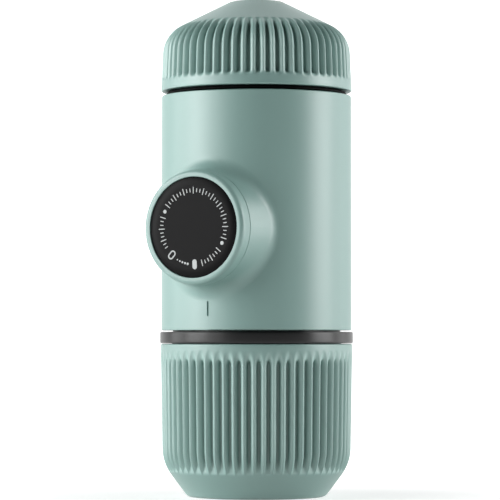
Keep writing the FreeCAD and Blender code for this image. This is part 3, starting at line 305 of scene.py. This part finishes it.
def moulded_plastic(name, colour, cloud_colour, roughness, roughness_spread, grain_width, grain_height,
                    painted_highlight_colour=None, painted_shade_colour=None, **more):
    """Satin plastic: clouds mix two colours, and one grain drives roughness and bump.

    A noise of scale S has bumps about 1 / S apart, so S = 1 / (width in metres). A fluted
    piece has two more colours, which the carved share of the flutes' depth fades in: a
    painted highlight on the ridges and upper flanks of the ribs, and painted shade on the
    flute floors.
    piece has two more colours, which the carved share of the flutes' depth fades in."""
    material, tree, shader = start_material(name)
    place = add_node(tree, "ShaderNodeTexCoord").outputs["Object"]
    clouds = add_node(tree, "ShaderNodeTexNoise",
                      {"Vector": place, "Scale": 1 / (CLOUD_WIDTH * MM), "Detail": 2.0})
    grain = add_node(tree, "ShaderNodeTexNoise",
                     {"Vector": place, "Scale": 1 / (grain_width * MM), "Detail": 3.0})
    # A colour mix has several sockets named A, B and Result, so the colour ones go by number.
    shade = add_node(tree, "ShaderNodeMix", {"Factor": clouds.outputs["Fac"], 6: linear(colour),
                                             7: linear(cloud_colour)}, data_type="RGBA").outputs[2]
    # Painted highlight: a paler colour on the ridges and upper flanks of the ribs, where the side lights
    # fall.
    if painted_highlight_colour:
        depth = add_node(tree, "ShaderNodeAttribute", attribute_name="flute").outputs["Fac"]
        painted_highlight_share = add_node(tree, "ShaderNodeMapRange",
                          {"Value": depth, "From Min": PAINTED_HIGHLIGHT_DEPTHS[0], "From Max": PAINTED_HIGHLIGHT_DEPTHS[1]})
        shade = add_node(tree, "ShaderNodeMix", {"Factor": painted_highlight_share.outputs["Result"], 6: shade,
                                                 7: linear(painted_highlight_colour)}, data_type="RGBA").outputs[2]
        # Painted shade: a darker colour on the flute floors, where the neighbouring ribs block the light.
        shaded = add_node(tree, "ShaderNodeMapRange",
                          {"Value": depth, "From Min": SHADED_DEPTHS[0], "From Max": SHADED_DEPTHS[1]})
        shade = add_node(tree, "ShaderNodeMix", {"Factor": shaded.outputs["Result"], 6: shade,
                                                 7: linear(painted_shade_colour)}, data_type="RGBA").outputs[2]
    gloss = add_node(tree, "ShaderNodeMapRange",
                     {"Value": grain.outputs["Fac"], "To Min": roughness - roughness_spread,
                      "To Max": roughness + roughness_spread})
    bump = add_node(tree, "ShaderNodeBump",
                    {"Height": grain.outputs["Fac"], "Strength": 1.0, "Distance": grain_height * MM})
    set_shader(tree, shader, Base_Color=shade, Roughness=gloss.outputs["Result"],
               Normal=bump.outputs["Normal"], **more)
    return material


mint_satin = moulded_plastic("mint_abs_spark_eroded", "#88A9A3", "#85A6A0", 0.40, 0.03, 0.35, 0.003, IOR=1.7)
# The paler colour on the rib flanks is a painted highlight, the darker one on the flute floors is painted
# shade.
mint_fluted = moulded_plastic("mint_abs_fluted_grip", "#88A9A3", "#85A6A0", 0.38, 0.03, 0.35, 0.003,
                              painted_highlight_colour="#95B5AF", painted_shade_colour="#6A8882", IOR=1.7)
print("mint plastics ready")

# %% [markdown]
# Black plastics
#
# The ring between cup and body is the flange of the outlet head. It is black ABS, a little
# shinier than the mint because black parts are often moulded in polished steel. Black is
# never zero: even carbon black plastic sends back a little of the light. The dial is the
# same plastic under a matt black lacquer that kills reflections so that its marks can be
# read. The tank, whose collar is the dark line under the dome, takes a matt black that is
# darker and reflects less than the ring's: painted shade that keeps that gap dark.

# %% Black and dark plastics
black_satin = moulded_plastic("black_abs_satin", "#0C0D0E", "#0A0B0C", 0.30, 0.04, 0.4, 0.003, IOR=1.42)
black_lacquer = moulded_plastic("black_matt_lacquer_dial", "#121213", "#101011", 0.36, 0.04, 0.3, 0.001,
                                IOR=1.49, Specular_IOR_Level=0.07)
# Painted shade: the tank's collar gets a darker, barely reflecting black so the gap under the dome stays
# dark.
gap_shade_black = moulded_plastic("black_abs_painted_gap_shade", "#08090A", "#060708", 0.60, 0.04, 0.4, 0.003,
                               IOR=1.49, Specular_IOR_Level=0.06)
dark_nylon = moulded_plastic("charcoal_nylon_glass_filled", "#3A3C3F", "#313336", 0.5, 0.08, 0.6, 0.01,
                             IOR=1.53)
print("black plastics ready")

# %% [markdown]
# Silicone, print and metals
#
# Seals are black silicone rubber pressed in a fine mould: dull, with a slight dusty sheen.
# The dial's marks are pad printed, a thin film of pale ink that a soft pad sets down.
# Basket, screens and rod are stainless steel, whose turned or rolled finish stretches
# highlights, and the small screws are zinc plated, brighter and bluer than stainless.

# %% Silicone and print
silicone = moulded_plastic("black_silicone_pressed", "#26282A", "#1F2123", 0.68, 0.06, 0.5, 0.005, IOR=1.41,
                           Sheen_Weight=0.15, Sheen_Roughness=0.5)
pale_print = moulded_plastic("pale_ink_pad_printed", "#C9CDCD", "#C0C4C4", 0.55, 0.05, 0.3, 0.002, IOR=1.48)
print("silicone and print ready")

# %% Metal recipe
TOOL_MARK_HEIGHT = 0.004


def worked_metal(name, colour, dull_colour, roughness, roughness_spread, mark_width, stretch):
    """Metal with tool marks: a noise squeezed along Z makes fine lines round upright pieces.

    Stretching the pattern's place by a factor in Z makes its marks that much thinner there."""
    material, tree, shader = start_material(name)
    place = add_node(tree, "ShaderNodeTexCoord").outputs["Object"]
    squeezed = add_node(tree, "ShaderNodeMapping", {"Vector": place, "Scale": (1.0, 1.0, stretch)})
    marks = add_node(tree, "ShaderNodeTexNoise",
                     {"Vector": squeezed.outputs["Vector"], "Scale": 1 / (mark_width * MM), "Detail": 4.0})
    tint = add_node(tree, "ShaderNodeMix",
                    {"Factor": marks.outputs["Fac"], 6: linear(colour), 7: linear(dull_colour)},
                    data_type="RGBA")
    gloss = add_node(tree, "ShaderNodeMapRange",
                     {"Value": marks.outputs["Fac"], "To Min": roughness - roughness_spread,
                      "To Max": roughness + roughness_spread})
    bump = add_node(tree, "ShaderNodeBump",
                    {"Height": marks.outputs["Fac"], "Strength": 1.0, "Distance": TOOL_MARK_HEIGHT * MM})
    set_shader(tree, shader, Base_Color=tint.outputs[2], Roughness=gloss.outputs["Result"],
               Normal=bump.outputs["Normal"], Metallic=1.0)
    return material


stainless = worked_metal("stainless_steel_turned", "#C9C6C1", "#B4B1AC", 0.28, 0.07, 1.2, 8.0)
zinc_plate = worked_metal("zinc_plated_steel", "#C3C8CC", "#AEB4BA", 0.34, 0.08, 0.8, 1.0)
print("metals ready")

# %% [markdown]
# Dressing the imported pieces
#
# The record names a slot for each piece's material. Every imported piece takes the finish of
# its slot, in one short loop. The tank alone takes a darker black that hardly reflects,
# painted shade that keeps the gap under the dome a plain dark line.

# %% Finishes for the imported pieces
FINISHES = {
    "mint_plastic": mint_satin,
    "black_plastic": black_satin,
    "knob_disc_plastic": black_lacquer,
    "dark_plastic": dark_nylon,
    "silicone": silicone,
    "stainless_steel": stainless,
    "screw_steel": zinc_plate,
}
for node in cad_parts.values():
    slot_name = node.data.materials[0].name.split(".")[0]
    node.data.materials[0] = FINISHES[slot_name]
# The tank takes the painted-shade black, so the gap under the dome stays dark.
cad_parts["tank_vessel"].data.materials[0] = gap_shade_black
print("dressed", len(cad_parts), "packed pieces")

# %% [markdown]
# Flutes as a field of depth
#
# A flute is a groove with steep walls and a floor that runs out at its ends, and the rib
# left between two flutes is a little roof with a rounded ridge. They could be cut with
# sixty small cutters, but the edges would be sharp and the ends abrupt. Here the flutes
# are a depth taken off a smooth surface instead. Two things limit it at each point of the
# grid: the wall, which depends on how far the point lies inside the flute's outline, and
# the room over the flute's floor. The smaller of the two is carved away along the normal,
# and because the two blend over nearly a tenth of a millimetre, every edge comes out soft.

# %% Flute field
# Shares of one pitch, from the middle of a flute: narrow steps on the ridge of the rib.
PITCH_SHARES = np.array([0, 0.09, 0.155, 0.24, 0.34, 0.42, 0.475,
                         0.5, 0.525, 0.58, 0.66, 0.76, 0.845, 0.91])
FAR_ABOVE = -9.0
WHOLE_STEP = 1e-6


def wall_depth(inside):
    """How deep the wall has gone at a distance g inside the flute's outline.

    The outline runs along the ridges of the ribs. A ridge of radius R that straightens
    into a flank is slope * (sqrt(g * g + R * R) - R) deep, and from the flank's foot on
    the wall's steeper slope comes on top. Outside the outline the depth is negative."""
    slope = math.tan(RIB_LEAN)
    flank = slope * (np.sqrt(inside ** 2 + RIB_RADIUS ** 2) - RIB_RADIUS)
    wall = np.maximum(inside - RIB_FLANK, 0) * (math.tan(WALL_LEAN) - slope)
    return np.where(inside < 0, inside, flank + wall)


def end_share(to_tip, length):
    """0 along a flute, 1 at its tip: one minus the distance to the tip over the end's length."""
    return np.maximum(1 - to_tip / length, 0)


def room_over(floor, points, normals):
    """How far each outline point lies above a floor line, measured straight in.

    A step of the floor from A to B is met where point - t * normal = A + w * (B - A).
    Crossing both sides with B - A gives t, and with the normal gives w. Of the steps
    that are met, with w between 0 and 1, the nearest one counts. Where none is met the
    floor is far above."""
    step = (floor[1:] - floor[:-1])[None]
    start = points[:, None] - floor[None, :-1]
    inward = normals[:, None]
    area = inward[..., 0] * step[..., 1] - inward[..., 1] * step[..., 0]
    t = (start[..., 0] * step[..., 1] - start[..., 1] * step[..., 0]) / area
    w = (start[..., 1] * inward[..., 0] - start[..., 0] * inward[..., 1]) / area
    met = np.where((w >= -WHOLE_STEP) & (w <= 1 + WHOLE_STEP), t, np.inf)
    nearest = np.take_along_axis(met, np.abs(met).argmin(axis=1)[:, None], axis=1)[:, 0]
    return np.where(np.isfinite(nearest), nearest, FAR_ABOVE)


def fluted_rings(outline, room, ends, turn):
    """Rings of points round Z with the flutes carved in, and the carved share of the depth.

    A flute reaches half a pitch W from its middle, less by its end share: a point at x
    across is g = W - sqrt(x * x + (W * end) ** 2) inside its outline. With a the wall's
    depth at g and b the room, the smaller one is d = (a + b - sqrt((a - b) ** 2 + k * k)) / 2
    and the depth carved, never under nothing, is (d + sqrt(d * d + k * k)) / 2."""
    share = np.tile(PITCH_SHARES, FLUTES)
    flute = np.repeat(np.arange(FLUTES), len(PITCH_SHARES))
    angle = (flute + share) * 2 * np.pi / FLUTES + turn
    half_pitch = np.pi * outline[:, :1] / FLUTES
    across = 2 * np.minimum(share, 1 - share) * half_pitch
    wall = wall_depth(half_pitch - np.hypot(across, ends[:, None] * half_pitch))
    floor = np.minimum(room, FLUTE_DEPTH)[:, None]
    depth = (wall + floor - np.sqrt((wall - floor) ** 2 + FLUTE_SOFTNESS ** 2)) / 2
    carved = (depth + np.sqrt(depth ** 2 + FLUTE_SOFTNESS ** 2)) / 2
    carved = np.where(room[:, None] <= FAR_ABOVE, 0, carved)
    normals = outline_normals(outline)
    radius = outline[:, :1] - carved * normals[:, :1]
    height = outline[:, 1:] - carved * normals[:, 1:]
    rings = np.stack([radius * np.cos(angle), radius * np.sin(angle), height], axis=-1)
    return rings, np.clip(carved / FLUTE_DEPTH, 0, 1)


print("columns round each fluted piece:", FLUTES * len(PITCH_SHARES))

# %% [markdown]
# The cup
#
# The cup is moulded in one piece. Its wall leans out by a degree so that it leaves the
# mould, and sixty flutes give wet hands a grip. Their floor is nearly upright, so they run
# out by themselves where the shoulder turns in, and they narrow to slender tips under the
# rim, which stays smooth for drinking.

# %% Cup
CUP_OUTLINE = [
    (0, 0, 0, 8),
    (CUP_FOOT_RADIUS, 0, 2.0, 8),
    (CUP_SHOULDER_RADIUS, CUP_SHOULDER_HEIGHT, 14.0, 0.45),
    (29.96, 38.9, 0, 3.6),
    (30.07, 46.2, 0, 0.35),
    (CUP_RIM_RADIUS, CUP_HEIGHT, 0.5, 1),
    (27.0, CUP_HEIGHT, 0.5, 2),
    (26.4, 13.48, 9.0, 12),
    (18.6, 3.0, 4.5, 6),
    (0, 3.0, 0, 9),
]
CUP_FLUTE_FLOOR = [
    (27.2, -5, 0, 1),
    (28.1, 43.9, 2.0, 30),
    (33.0, 48.1, 0, 5),
]
CUP_FLUTE_FOOT = 6.8
CUP_FLUTE_FOOT_LENGTH = 1.6
CUP_FLUTE_TIP = 46.0
CUP_FLUTE_TIP_LENGTH = 5.6
CUP_FLUTED_HEIGHT = 46.5
CUP_FLUTED_RADIUS = 24


def cup_mesh():
    """The cup: its outline swung round, with flutes over the floor line on its outside."""
    outline = rounded_outline(CUP_OUTLINE)
    floor = rounded_outline(CUP_FLUTE_FLOOR)
    room = room_over(floor, outline, outline_normals(outline))
    outside = np.arange(len(outline)) < outline[:, 1].argmax()
    fluted = outside & (outline[:, 1] < CUP_FLUTED_HEIGHT) & (outline[:, 0] > CUP_FLUTED_RADIUS)
    room = np.where(fluted, room, FAR_ABOVE)
    ends = np.maximum(end_share(outline[:, 1] - CUP_FLUTE_FOOT, CUP_FLUTE_FOOT_LENGTH),
                      end_share(CUP_FLUTE_TIP - outline[:, 1], CUP_FLUTE_TIP_LENGTH))
    rings, carved = fluted_rings(outline, room, ends, CUP_FLUTES_TURN)
    return closed_skin("cup_fluted", rings, carved)


add_piece("cup_fluted", cup_mesh(), mint_fluted, "cup", node="cup")

# %% [markdown]
# The ring between cup and body
#
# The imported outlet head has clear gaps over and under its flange. The moulded flange is a
# little thicker than that: it almost touches the cup's rim and leaves a hair line under
# the body. Its inner edge is sunk in the outlet head's neck, so that it stays one piece
# with it.

# %% Flange ring
FLANGE_OUTLINE = rounded_outline([
    (FLANGE_INNER_RADIUS, FLANGE_BOTTOM, 0, 1),
    (FLANGE_RADIUS, FLANGE_BOTTOM, FLANGE_EDGE_ROUND, 1),
    (FLANGE_RADIUS, FLANGE_TOP, FLANGE_EDGE_ROUND, 1),
    (FLANGE_INNER_RADIUS, FLANGE_TOP, 0, 1),
])
flange_mesh = closed_ring("outlet_head_flange", FLANGE_OUTLINE, FLANGE_COLUMNS)
add_piece("outlet_head_flange", flange_mesh, black_satin, "outlet_head")

# %% [markdown]
# The tank cover
#
# The dome over the water tank carries the same flutes, within half a degree of the cup's.
# They start with a round end above the dome's smooth rim, climb the wall, turn over the
# shoulder and thin out on the sloping roof, because their floor climbs more steeply than
# the roof does. The flat middle has a low nub inside a shallow ring.

# %% Tank cover
COVER_OUTLINE = [
    (0, 152.6, 0, 8),
    (8.4, 152.6, 3.0, 6),
    (26.43, 143.57, 7.2, 4),
    (27.2, COVER_BOTTOM, 0, 9),
    (COVER_RIM_RADIUS, COVER_BOTTOM, 0.4, 2),
    (29.88, 128.8, 0, 1.4),
    (29.67, 134.2, 0, 0.4),
    (COVER_SHOULDER_RADIUS, 144.97, 10.0, 0.7),
    (21.5, 148.85, 0, 0.45),
    (PLATEAU_RADIUS, PLATEAU_HEIGHT, 1.5, 1.5),
    (7.0, PLATEAU_HEIGHT, 0.2, 1),
    (6.6, PLATEAU_HEIGHT - PLATEAU_DIP, 0.2, 1),
    (NUB_RADIUS, PLATEAU_HEIGHT - PLATEAU_DIP, 0.15, 1),
    (NUB_RADIUS, PLATEAU_HEIGHT + NUB_RISE, 0.5, 1),
    (0, PLATEAU_HEIGHT + NUB_RISE, 0, 2),
]
COVER_FLUTE_BOTTOM = 130.0
COVER_FLUTE_BOTTOM_LENGTH = 1.55
COVER_FLUTE_TOP = (22.7, 148.25)
COVER_FLUTE_TIP_RADIUS = 20.2
COVER_FLUTE_TIP_LENGTH = 6.5
COVER_FLUTE_SINK = math.radians(55)
COVER_FLUTE_CLIMB = math.radians(59)
COVER_FLOOR_LEAN = 0.35
FLOOR_REACH = 3.0
COVER_FLUTED_RADIUS = 10
RIM_POINTS = 8


def cover_flute_floor():
    """The floor line: in from the wall, up it, and over the shoulder to where the flute ends.

    It sinks in through the wall at one angle to the upright and leaves at another angle to
    the level, so its corners are worked out back from where it meets the surface."""
    wall = COVER_SHOULDER_RADIUS - FLUTE_DEPTH
    foot = wall + COVER_FLOOR_LEAN
    sink = 1 / math.tan(COVER_FLUTE_SINK)
    climb = math.tan(COVER_FLUTE_CLIMB)
    end_radius, end_height = COVER_FLUTE_TOP
    return rounded_outline([
        (COVER_RIM_RADIUS + FLOOR_REACH, COVER_FLUTE_BOTTOM - FLOOR_REACH * sink, 0, 1),
        (foot, COVER_FLUTE_BOTTOM + (COVER_RIM_RADIUS - foot) * sink, 3.0, 6),
        (wall, end_height - (wall - end_radius) * climb, 6.0, 6),
        (end_radius - 4 * FLOOR_REACH, end_height + 4 * FLOOR_REACH * climb, 0, 3),
    ])


def cover_mesh():
    """The cover: its outline swung round, with flutes over the floor line on its outside."""
    outline = rounded_outline(COVER_OUTLINE)
    room = room_over(cover_flute_floor(), outline, outline_normals(outline))
    outside = np.arange(len(outline)) > outline[:, 1].argmin() + RIM_POINTS
    room = np.where(outside & (outline[:, 0] > COVER_FLUTED_RADIUS), room, FAR_ABOVE)
    ends = np.maximum(end_share(outline[:, 1] - COVER_FLUTE_BOTTOM, COVER_FLUTE_BOTTOM_LENGTH),
                      end_share(outline[:, 0] - COVER_FLUTE_TIP_RADIUS, COVER_FLUTE_TIP_LENGTH))
    rings, carved = fluted_rings(outline, room, ends, COVER_FLUTES_TURN)
    return closed_skin("tank_cover_fluted", rings, carved)


add_piece("tank_cover_fluted", cover_mesh(), mint_fluted, "water_tank",
          node="tank_cover")

# %% [markdown]
# The dial and its marks
#
# The knob's cap holds a flat black disc. Printed marks show how far to turn the knob: an
# open nought where it is free, a solid bar where it is locked, forty-five degrees on, and
# a row of dots that leads from one to the other. Two round dots and a plain scale of fine
# lines fill the rest of the ring. The print stands a few hundredths of a millimetre proud
# of the disc.

# %% Dial disc
def on_pump_axis(points):
    """Lay points made round Z onto the pump's axis: (x, y, z) goes to (x, -z, y + axis height)."""
    return np.stack([points[..., 0], -points[..., 2], points[..., 1] + PUMP_HEIGHT], axis=-1)


DISC_FRONT = DISC_REAR + DISC_THICKNESS
DISC_OUTLINE = rounded_outline([
    (0, DISC_REAR, 0, 5),
    (DISC_RADIUS, DISC_REAR, 0.1, 5),
    (DISC_RADIUS, DISC_FRONT - DISC_EDGE_BREAK, 0.15, 1),
    (DISC_RADIUS - DISC_EDGE_BREAK, DISC_FRONT, 0, 1),
    (0, DISC_FRONT, 0, 3),
])
dial_mesh = closed_skin("knob_dial", on_pump_axis(swung(DISC_OUTLINE, DISC_COLUMNS)))
add_piece("knob_dial", dial_mesh, black_lacquer, "knob", node="knob_disc")

# %% Printed marks
PRINT_PROUD = 0.035
PRINT_SUNK = 0.05
MARK_RADIUS = 11.25


def capsule(half_width, half_length, count=40):
    """Closed outline of a bar with round ends: a circle whose two halves are moved apart."""
    angle = np.arange(count) * 2 * np.pi / count + np.pi / count
    y = half_width * np.sin(angle)
    return np.stack([half_width * np.cos(angle), y + np.sign(y) * (half_length - half_width)], axis=1)


def wound_left(outline):
    """The same outline, turned round if need be so that it runs anticlockwise.

    Twice the signed area is the sum of x1 * y2 - x2 * y1 over its sides."""
    after = np.roll(outline, -1, axis=0)
    area = np.sum(outline[:, 0] * after[:, 1] - after[:, 0] * outline[:, 1])
    return outline if area > 0 else outline[::-1]


def on_dial(outline, angle):
    """Place a small outline on the dial, its upright pointing away from the dial's centre.

    With c and s the cosine and sine of the angle and r the radius of the ring of marks,
    (x, y) goes to (r + y) (c, s) + x (s, -c)."""
    c, s = math.cos(math.radians(angle)), math.sin(math.radians(angle))
    away = MARK_RADIUS + outline[:, 1:]
    return wound_left(away * [c, s] + outline[:, :1] * [s, -c])


def film(outline, hole=None):
    """Corners and faces of a thin film over an outline, with or without a hole in it.

    The front stands proud of the disc and the back is sunk just under its face. A solid
    film closes front and back with one many-sided face each, and a film with a hole
    closes them with a ring of faces between the outer and the inner outline."""
    levels = (DISC_FRONT - PRINT_SUNK, DISC_FRONT + PRINT_PROUD)
    count = len(outline)
    one, two = np.arange(count), np.roll(np.arange(count), -1)
    loops = [outline] if hole is None else [outline, hole]
    corners = np.concatenate([np.column_stack([loop, np.full(count, level)])
                              for loop in loops for level in levels])
    faces = np.stack([one, two, two + count, one + count], axis=1).tolist()
    if hole is None:
        return corners, faces + [(one + count).tolist(), one[::-1].tolist()]
    faces += np.stack([two + 2 * count, one + 2 * count, one + 3 * count, two + 3 * count], axis=1).tolist()
    faces += np.stack([one + count, two + count, two + 3 * count, one + 3 * count], axis=1).tolist()
    faces += np.stack([two, one, one + 2 * count, two + 2 * count], axis=1).tolist()
    return corners, faces


BAR_ANGLE = 272.5
BAR_HALF_WIDTH = 0.78
BAR_HALF_LENGTH = 1.5
NOUGHT_ANGLE = 227.5
NOUGHT_HALF_WIDTH = 0.98
NOUGHT_HALF_LENGTH = 1.5
NOUGHT_LINE = 0.4
DOT_ANGLES = (240, 245, 250, 255, 260)
FIRST_DOT_RADIUS = 0.24
DOT_GROWTH = 0.035
DOT_STRETCH = 0.001
SEPARATOR_ANGLES = (154, 334)
SEPARATOR_RADIUS = 0.58
DOT_POINTS = 20
SCALES = ((-18, 144), (164, 214), (286, 324))
SCALE_STEP = 6
LONG_LINE_EVERY = 3
LINE_HALF_WIDTH = 0.14
LONG_HALF_LENGTH = 1.05
SHORT_HALF_LENGTH = 0.6
LINE_POINTS = 12

bar = on_dial(capsule(BAR_HALF_WIDTH, BAR_HALF_LENGTH), BAR_ANGLE)
nought = on_dial(capsule(NOUGHT_HALF_WIDTH, NOUGHT_HALF_LENGTH), NOUGHT_ANGLE)
nought_hole = on_dial(capsule(NOUGHT_HALF_WIDTH - NOUGHT_LINE, NOUGHT_HALF_LENGTH - NOUGHT_LINE),
                      NOUGHT_ANGLE)
marks = [film(bar), film(nought, nought_hole)]
for number, angle in enumerate(DOT_ANGLES):
    radius = FIRST_DOT_RADIUS + DOT_GROWTH * number
    marks.append(film(on_dial(capsule(radius, radius + DOT_STRETCH, DOT_POINTS), angle)))
for angle in SEPARATOR_ANGLES:
    marks.append(film(on_dial(capsule(SEPARATOR_RADIUS, SEPARATOR_RADIUS + DOT_STRETCH), angle)))
for first, last in SCALES:
    for number, angle in enumerate(range(first, last + 1, SCALE_STEP)):
        half_length = SHORT_HALF_LENGTH if number % LONG_LINE_EVERY else LONG_HALF_LENGTH
        marks.append(film(on_dial(capsule(LINE_HALF_WIDTH, half_length, LINE_POINTS), angle)))

corners, faces, used = [], [], 0
for some_corners, some_faces in marks:
    corners.append(some_corners)
    faces += [[index + used for index in face] for face in some_faces]
    used += len(some_corners)
marks_mesh = bpy.data.meshes.new("dial_marks")
marks_mesh.from_pydata((on_pump_axis(np.concatenate(corners)) * MM).tolist(), [], faces)
add_piece("dial_marks", marks_mesh, pale_print, "knob")
print("marks on the dial:", len(marks))

# %% [markdown]
# Table, backdrop and light
#
# Round things on white are lit by tall soft boxes on both sides. Here two stand on the left
# towards the camera and one on the right, and they draw the long bright bands that tell
# the eye it is round. Two weaker ones stand behind and brighten its edges. The stripe
# between the bands, which faces the camera, stays darker. The white around it comes from
# the backdrop's own colour as the camera and mirror-like surfaces see it, so no extra light
# spills onto the object. The table is a plain pale surface that still takes the soft
# shadow at the foot.

# %% Table and backdrop
CAMERA_TURN = 30.0
CAMERA_DISTANCE = 900.0
CAMERA_HEIGHT = 50.0
BACKDROP_DISTANCE = 1100
BACKDROP_HALF_WIDTH = 1500
BACKDROP_HEIGHT = 2200
TABLE_HALF_WIDTH = 2500
SHADOW_REACH = 40
WHITE_REACH = 160
PAPER_GRAIN = 9
ROOM_LIGHT = 0.10


def seen_white(name, lit_share):
    """Pale matte surface that adds white for what the camera, a mirror or glass sees.

    The share of white grows with distance from the object, so the shadow stays at its foot."""
    material, tree, shader = start_material(name)
    place = add_node(tree, "ShaderNodeTexCoord").outputs["Object"]
    reach = add_node(tree, "ShaderNodeVectorMath", {0: place}, operation="LENGTH")
    far = add_node(tree, "ShaderNodeMapRange",
                   {"Value": reach.outputs["Value"], "From Min": SHADOW_REACH * MM,
                    "From Max": WHITE_REACH * MM, "To Min": lit_share, "To Max": 1.0},
                   interpolation_type="SMOOTHSTEP")
    path = add_node(tree, "ShaderNodeLightPath")
    seen = add_node(tree, "ShaderNodeMath",
                    {0: path.outputs["Is Camera Ray"], 1: path.outputs["Is Glossy Ray"]}, operation="MAXIMUM")
    seen = add_node(tree, "ShaderNodeMath",
                    {0: seen.outputs[0], 1: path.outputs["Is Transmission Ray"]}, operation="MAXIMUM")
    white = add_node(tree, "ShaderNodeMath",
                     {0: seen.outputs[0], 1: far.outputs["Result"]}, operation="MULTIPLY")
    paper = add_node(tree, "ShaderNodeTexNoise", {"Vector": place, "Scale": 1 / (PAPER_GRAIN * MM)})
    tone = add_node(tree, "ShaderNodeMix",
                    {"Factor": paper.outputs["Fac"], 6: linear("#D9DAD9"), 7: linear("#D4D6D5")},
                    data_type="RGBA")
    set_shader(tree, shader, Base_Color=tone.outputs[2], Roughness=0.9, Specular_IOR_Level=0.2,
               Emission_Color=(1.0, 1.0, 1.0, 1.0), Emission_Strength=white.outputs[0])
    return material


def flat_sheet(name, corners, material):
    """One four-sided face in millimetres, outside the object."""
    mesh = bpy.data.meshes.new(name)
    mesh.from_pydata((np.array(corners, dtype=float) * MM).tolist(), [], [(0, 1, 2, 3)])
    mesh.materials.append(material)
    sheet = bpy.data.objects.new(name, mesh)
    bpy.context.scene.collection.objects.link(sheet)


def behind_object(across, height):
    """A place on the backdrop: across to the camera's right, and the backdrop's distance behind."""
    turn = math.radians(CAMERA_TURN)
    right = np.array([math.cos(turn), math.sin(turn)])
    away = np.array([-math.sin(turn), math.cos(turn)])
    return [*(right * across + away * BACKDROP_DISTANCE), height]


TABLE_CORNERS = [
    (-TABLE_HALF_WIDTH, -TABLE_HALF_WIDTH, 0),
    (TABLE_HALF_WIDTH, -TABLE_HALF_WIDTH, 0),
    (TABLE_HALF_WIDTH, TABLE_HALF_WIDTH, 0),
    (-TABLE_HALF_WIDTH, TABLE_HALF_WIDTH, 0),
]
BACKDROP_CORNERS = [
    behind_object(-BACKDROP_HALF_WIDTH, 0),
    behind_object(BACKDROP_HALF_WIDTH, 0),
    behind_object(BACKDROP_HALF_WIDTH, BACKDROP_HEIGHT),
    behind_object(-BACKDROP_HALF_WIDTH, BACKDROP_HEIGHT),
]
flat_sheet("table", TABLE_CORNERS, seen_white("pale_table_matte", lit_share=0.55))
flat_sheet("backdrop", BACKDROP_CORNERS, seen_white("white_backdrop_paper", lit_share=1.0))

world = bpy.data.worlds.new("studio")
bpy.context.scene.world = world
world.use_nodes = True
world.node_tree.nodes.clear()
path = add_node(world.node_tree, "ShaderNodeLightPath")
room_light = add_node(world.node_tree, "ShaderNodeBackground",
                      {"Color": linear("#E9EEF0"), "Strength": ROOM_LIGHT})
white_wall = add_node(world.node_tree, "ShaderNodeBackground",
                      {"Color": (1.0, 1.0, 1.0, 1.0), "Strength": 1.0})
seen = add_node(world.node_tree, "ShaderNodeMath",
                {0: path.outputs["Is Camera Ray"], 1: path.outputs["Is Transmission Ray"]},
                operation="MAXIMUM")
mixed = add_node(world.node_tree, "ShaderNodeMixShader",
                 {0: seen.outputs[0], 1: room_light.outputs[0], 2: white_wall.outputs[0]})
add_node(world.node_tree, "ShaderNodeOutputWorld", {"Surface": mixed.outputs[0]})
print("table and backdrop ready")

# %% Soft boxes
SOFT_BOX_DISTANCE = 800
SOFT_BOX_HEIGHT = 230
SOFT_BOX_TALL = 700
SOFT_BOX_TARGET = np.array([0, 0, 80.0])


def aim_at(thing, place, target):
    """Put a lamp or camera at a place and point its -Z at a target, with +Y kept upwards.

    Its Z axis is the unit vector from target to place, its X axis is up crossed with Z,
    and its Y axis is Z crossed with X."""
    z = unit(place - target)
    x = unit(np.cross([0, 0, 1.0], z))
    y = np.cross(z, x)
    matrix = np.eye(4)
    matrix[:3, :3] = np.stack([x, y, z], axis=1)
    matrix[:3, 3] = place * MM
    thing.matrix_world = Matrix(matrix.tolist())


def soft_box(name, turn, width, strength):
    """Rectangular area light that faces the object's middle.

    Turn is its angle from the camera round the object, to the camera's right. An area
    light of power P and area A glows with radiance P / (pi * A), so P = radiance * pi * A."""
    lamp = bpy.data.lights.new(name, "AREA")
    lamp.shape = "RECTANGLE"
    lamp.size = width * MM
    lamp.size_y = SOFT_BOX_TALL * MM
    lamp.energy = strength * math.pi * width * SOFT_BOX_TALL * MM ** 2
    box = bpy.data.objects.new(name, lamp)
    bpy.context.scene.collection.objects.link(box)
    angle = math.radians(CAMERA_TURN + turn)
    away = np.array([math.sin(angle), -math.cos(angle), 0])
    aim_at(box, away * SOFT_BOX_DISTANCE + [0, 0, SOFT_BOX_HEIGHT], SOFT_BOX_TARGET)


soft_box("soft_box_left", -76, 420, 6.8)
soft_box("soft_box_left_front", -50, 320, 2.4)
soft_box("soft_box_right", 85, 440, 6.4)
soft_box("rim_box_left", -108, 300, 3.5)
soft_box("rim_box_right", 118, 260, 2.2)
print("five soft boxes ready")

# %% [markdown]
# Camera
#
# A long lens from nine hundred millimetres keeps the upright sides nearly parallel. The
# camera stands slightly below the object's middle and is aimed a touch to the left of the
# axis, because the knob makes the object wider on that side.

# %% Camera
FRAME_WIDTH = 157.25
SENSOR_WIDTH = 36.0
AIM_HEIGHT = 77.3
AIM_LEFT = 2.05

camera_data = bpy.data.cameras.new("camera")
camera_data.sensor_width = SENSOR_WIDTH
camera_data.lens = SENSOR_WIDTH * CAMERA_DISTANCE / FRAME_WIDTH
camera = bpy.data.objects.new("camera", camera_data)
bpy.context.scene.collection.objects.link(camera)
camera_turn = math.radians(CAMERA_TURN)
to_right = np.array([math.cos(camera_turn), math.sin(camera_turn), 0])
to_camera = np.array([math.sin(camera_turn), -math.cos(camera_turn), 0])
camera_place = to_camera * CAMERA_DISTANCE + [0, 0, CAMERA_HEIGHT]
aim_at(camera, camera_place, np.array([0, 0, AIM_HEIGHT]) - to_right * AIM_LEFT)
bpy.context.scene.camera = camera
bpy.context.scene.view_settings.view_transform = "Standard"
print("lens", round(camera_data.lens, 1), "mm")
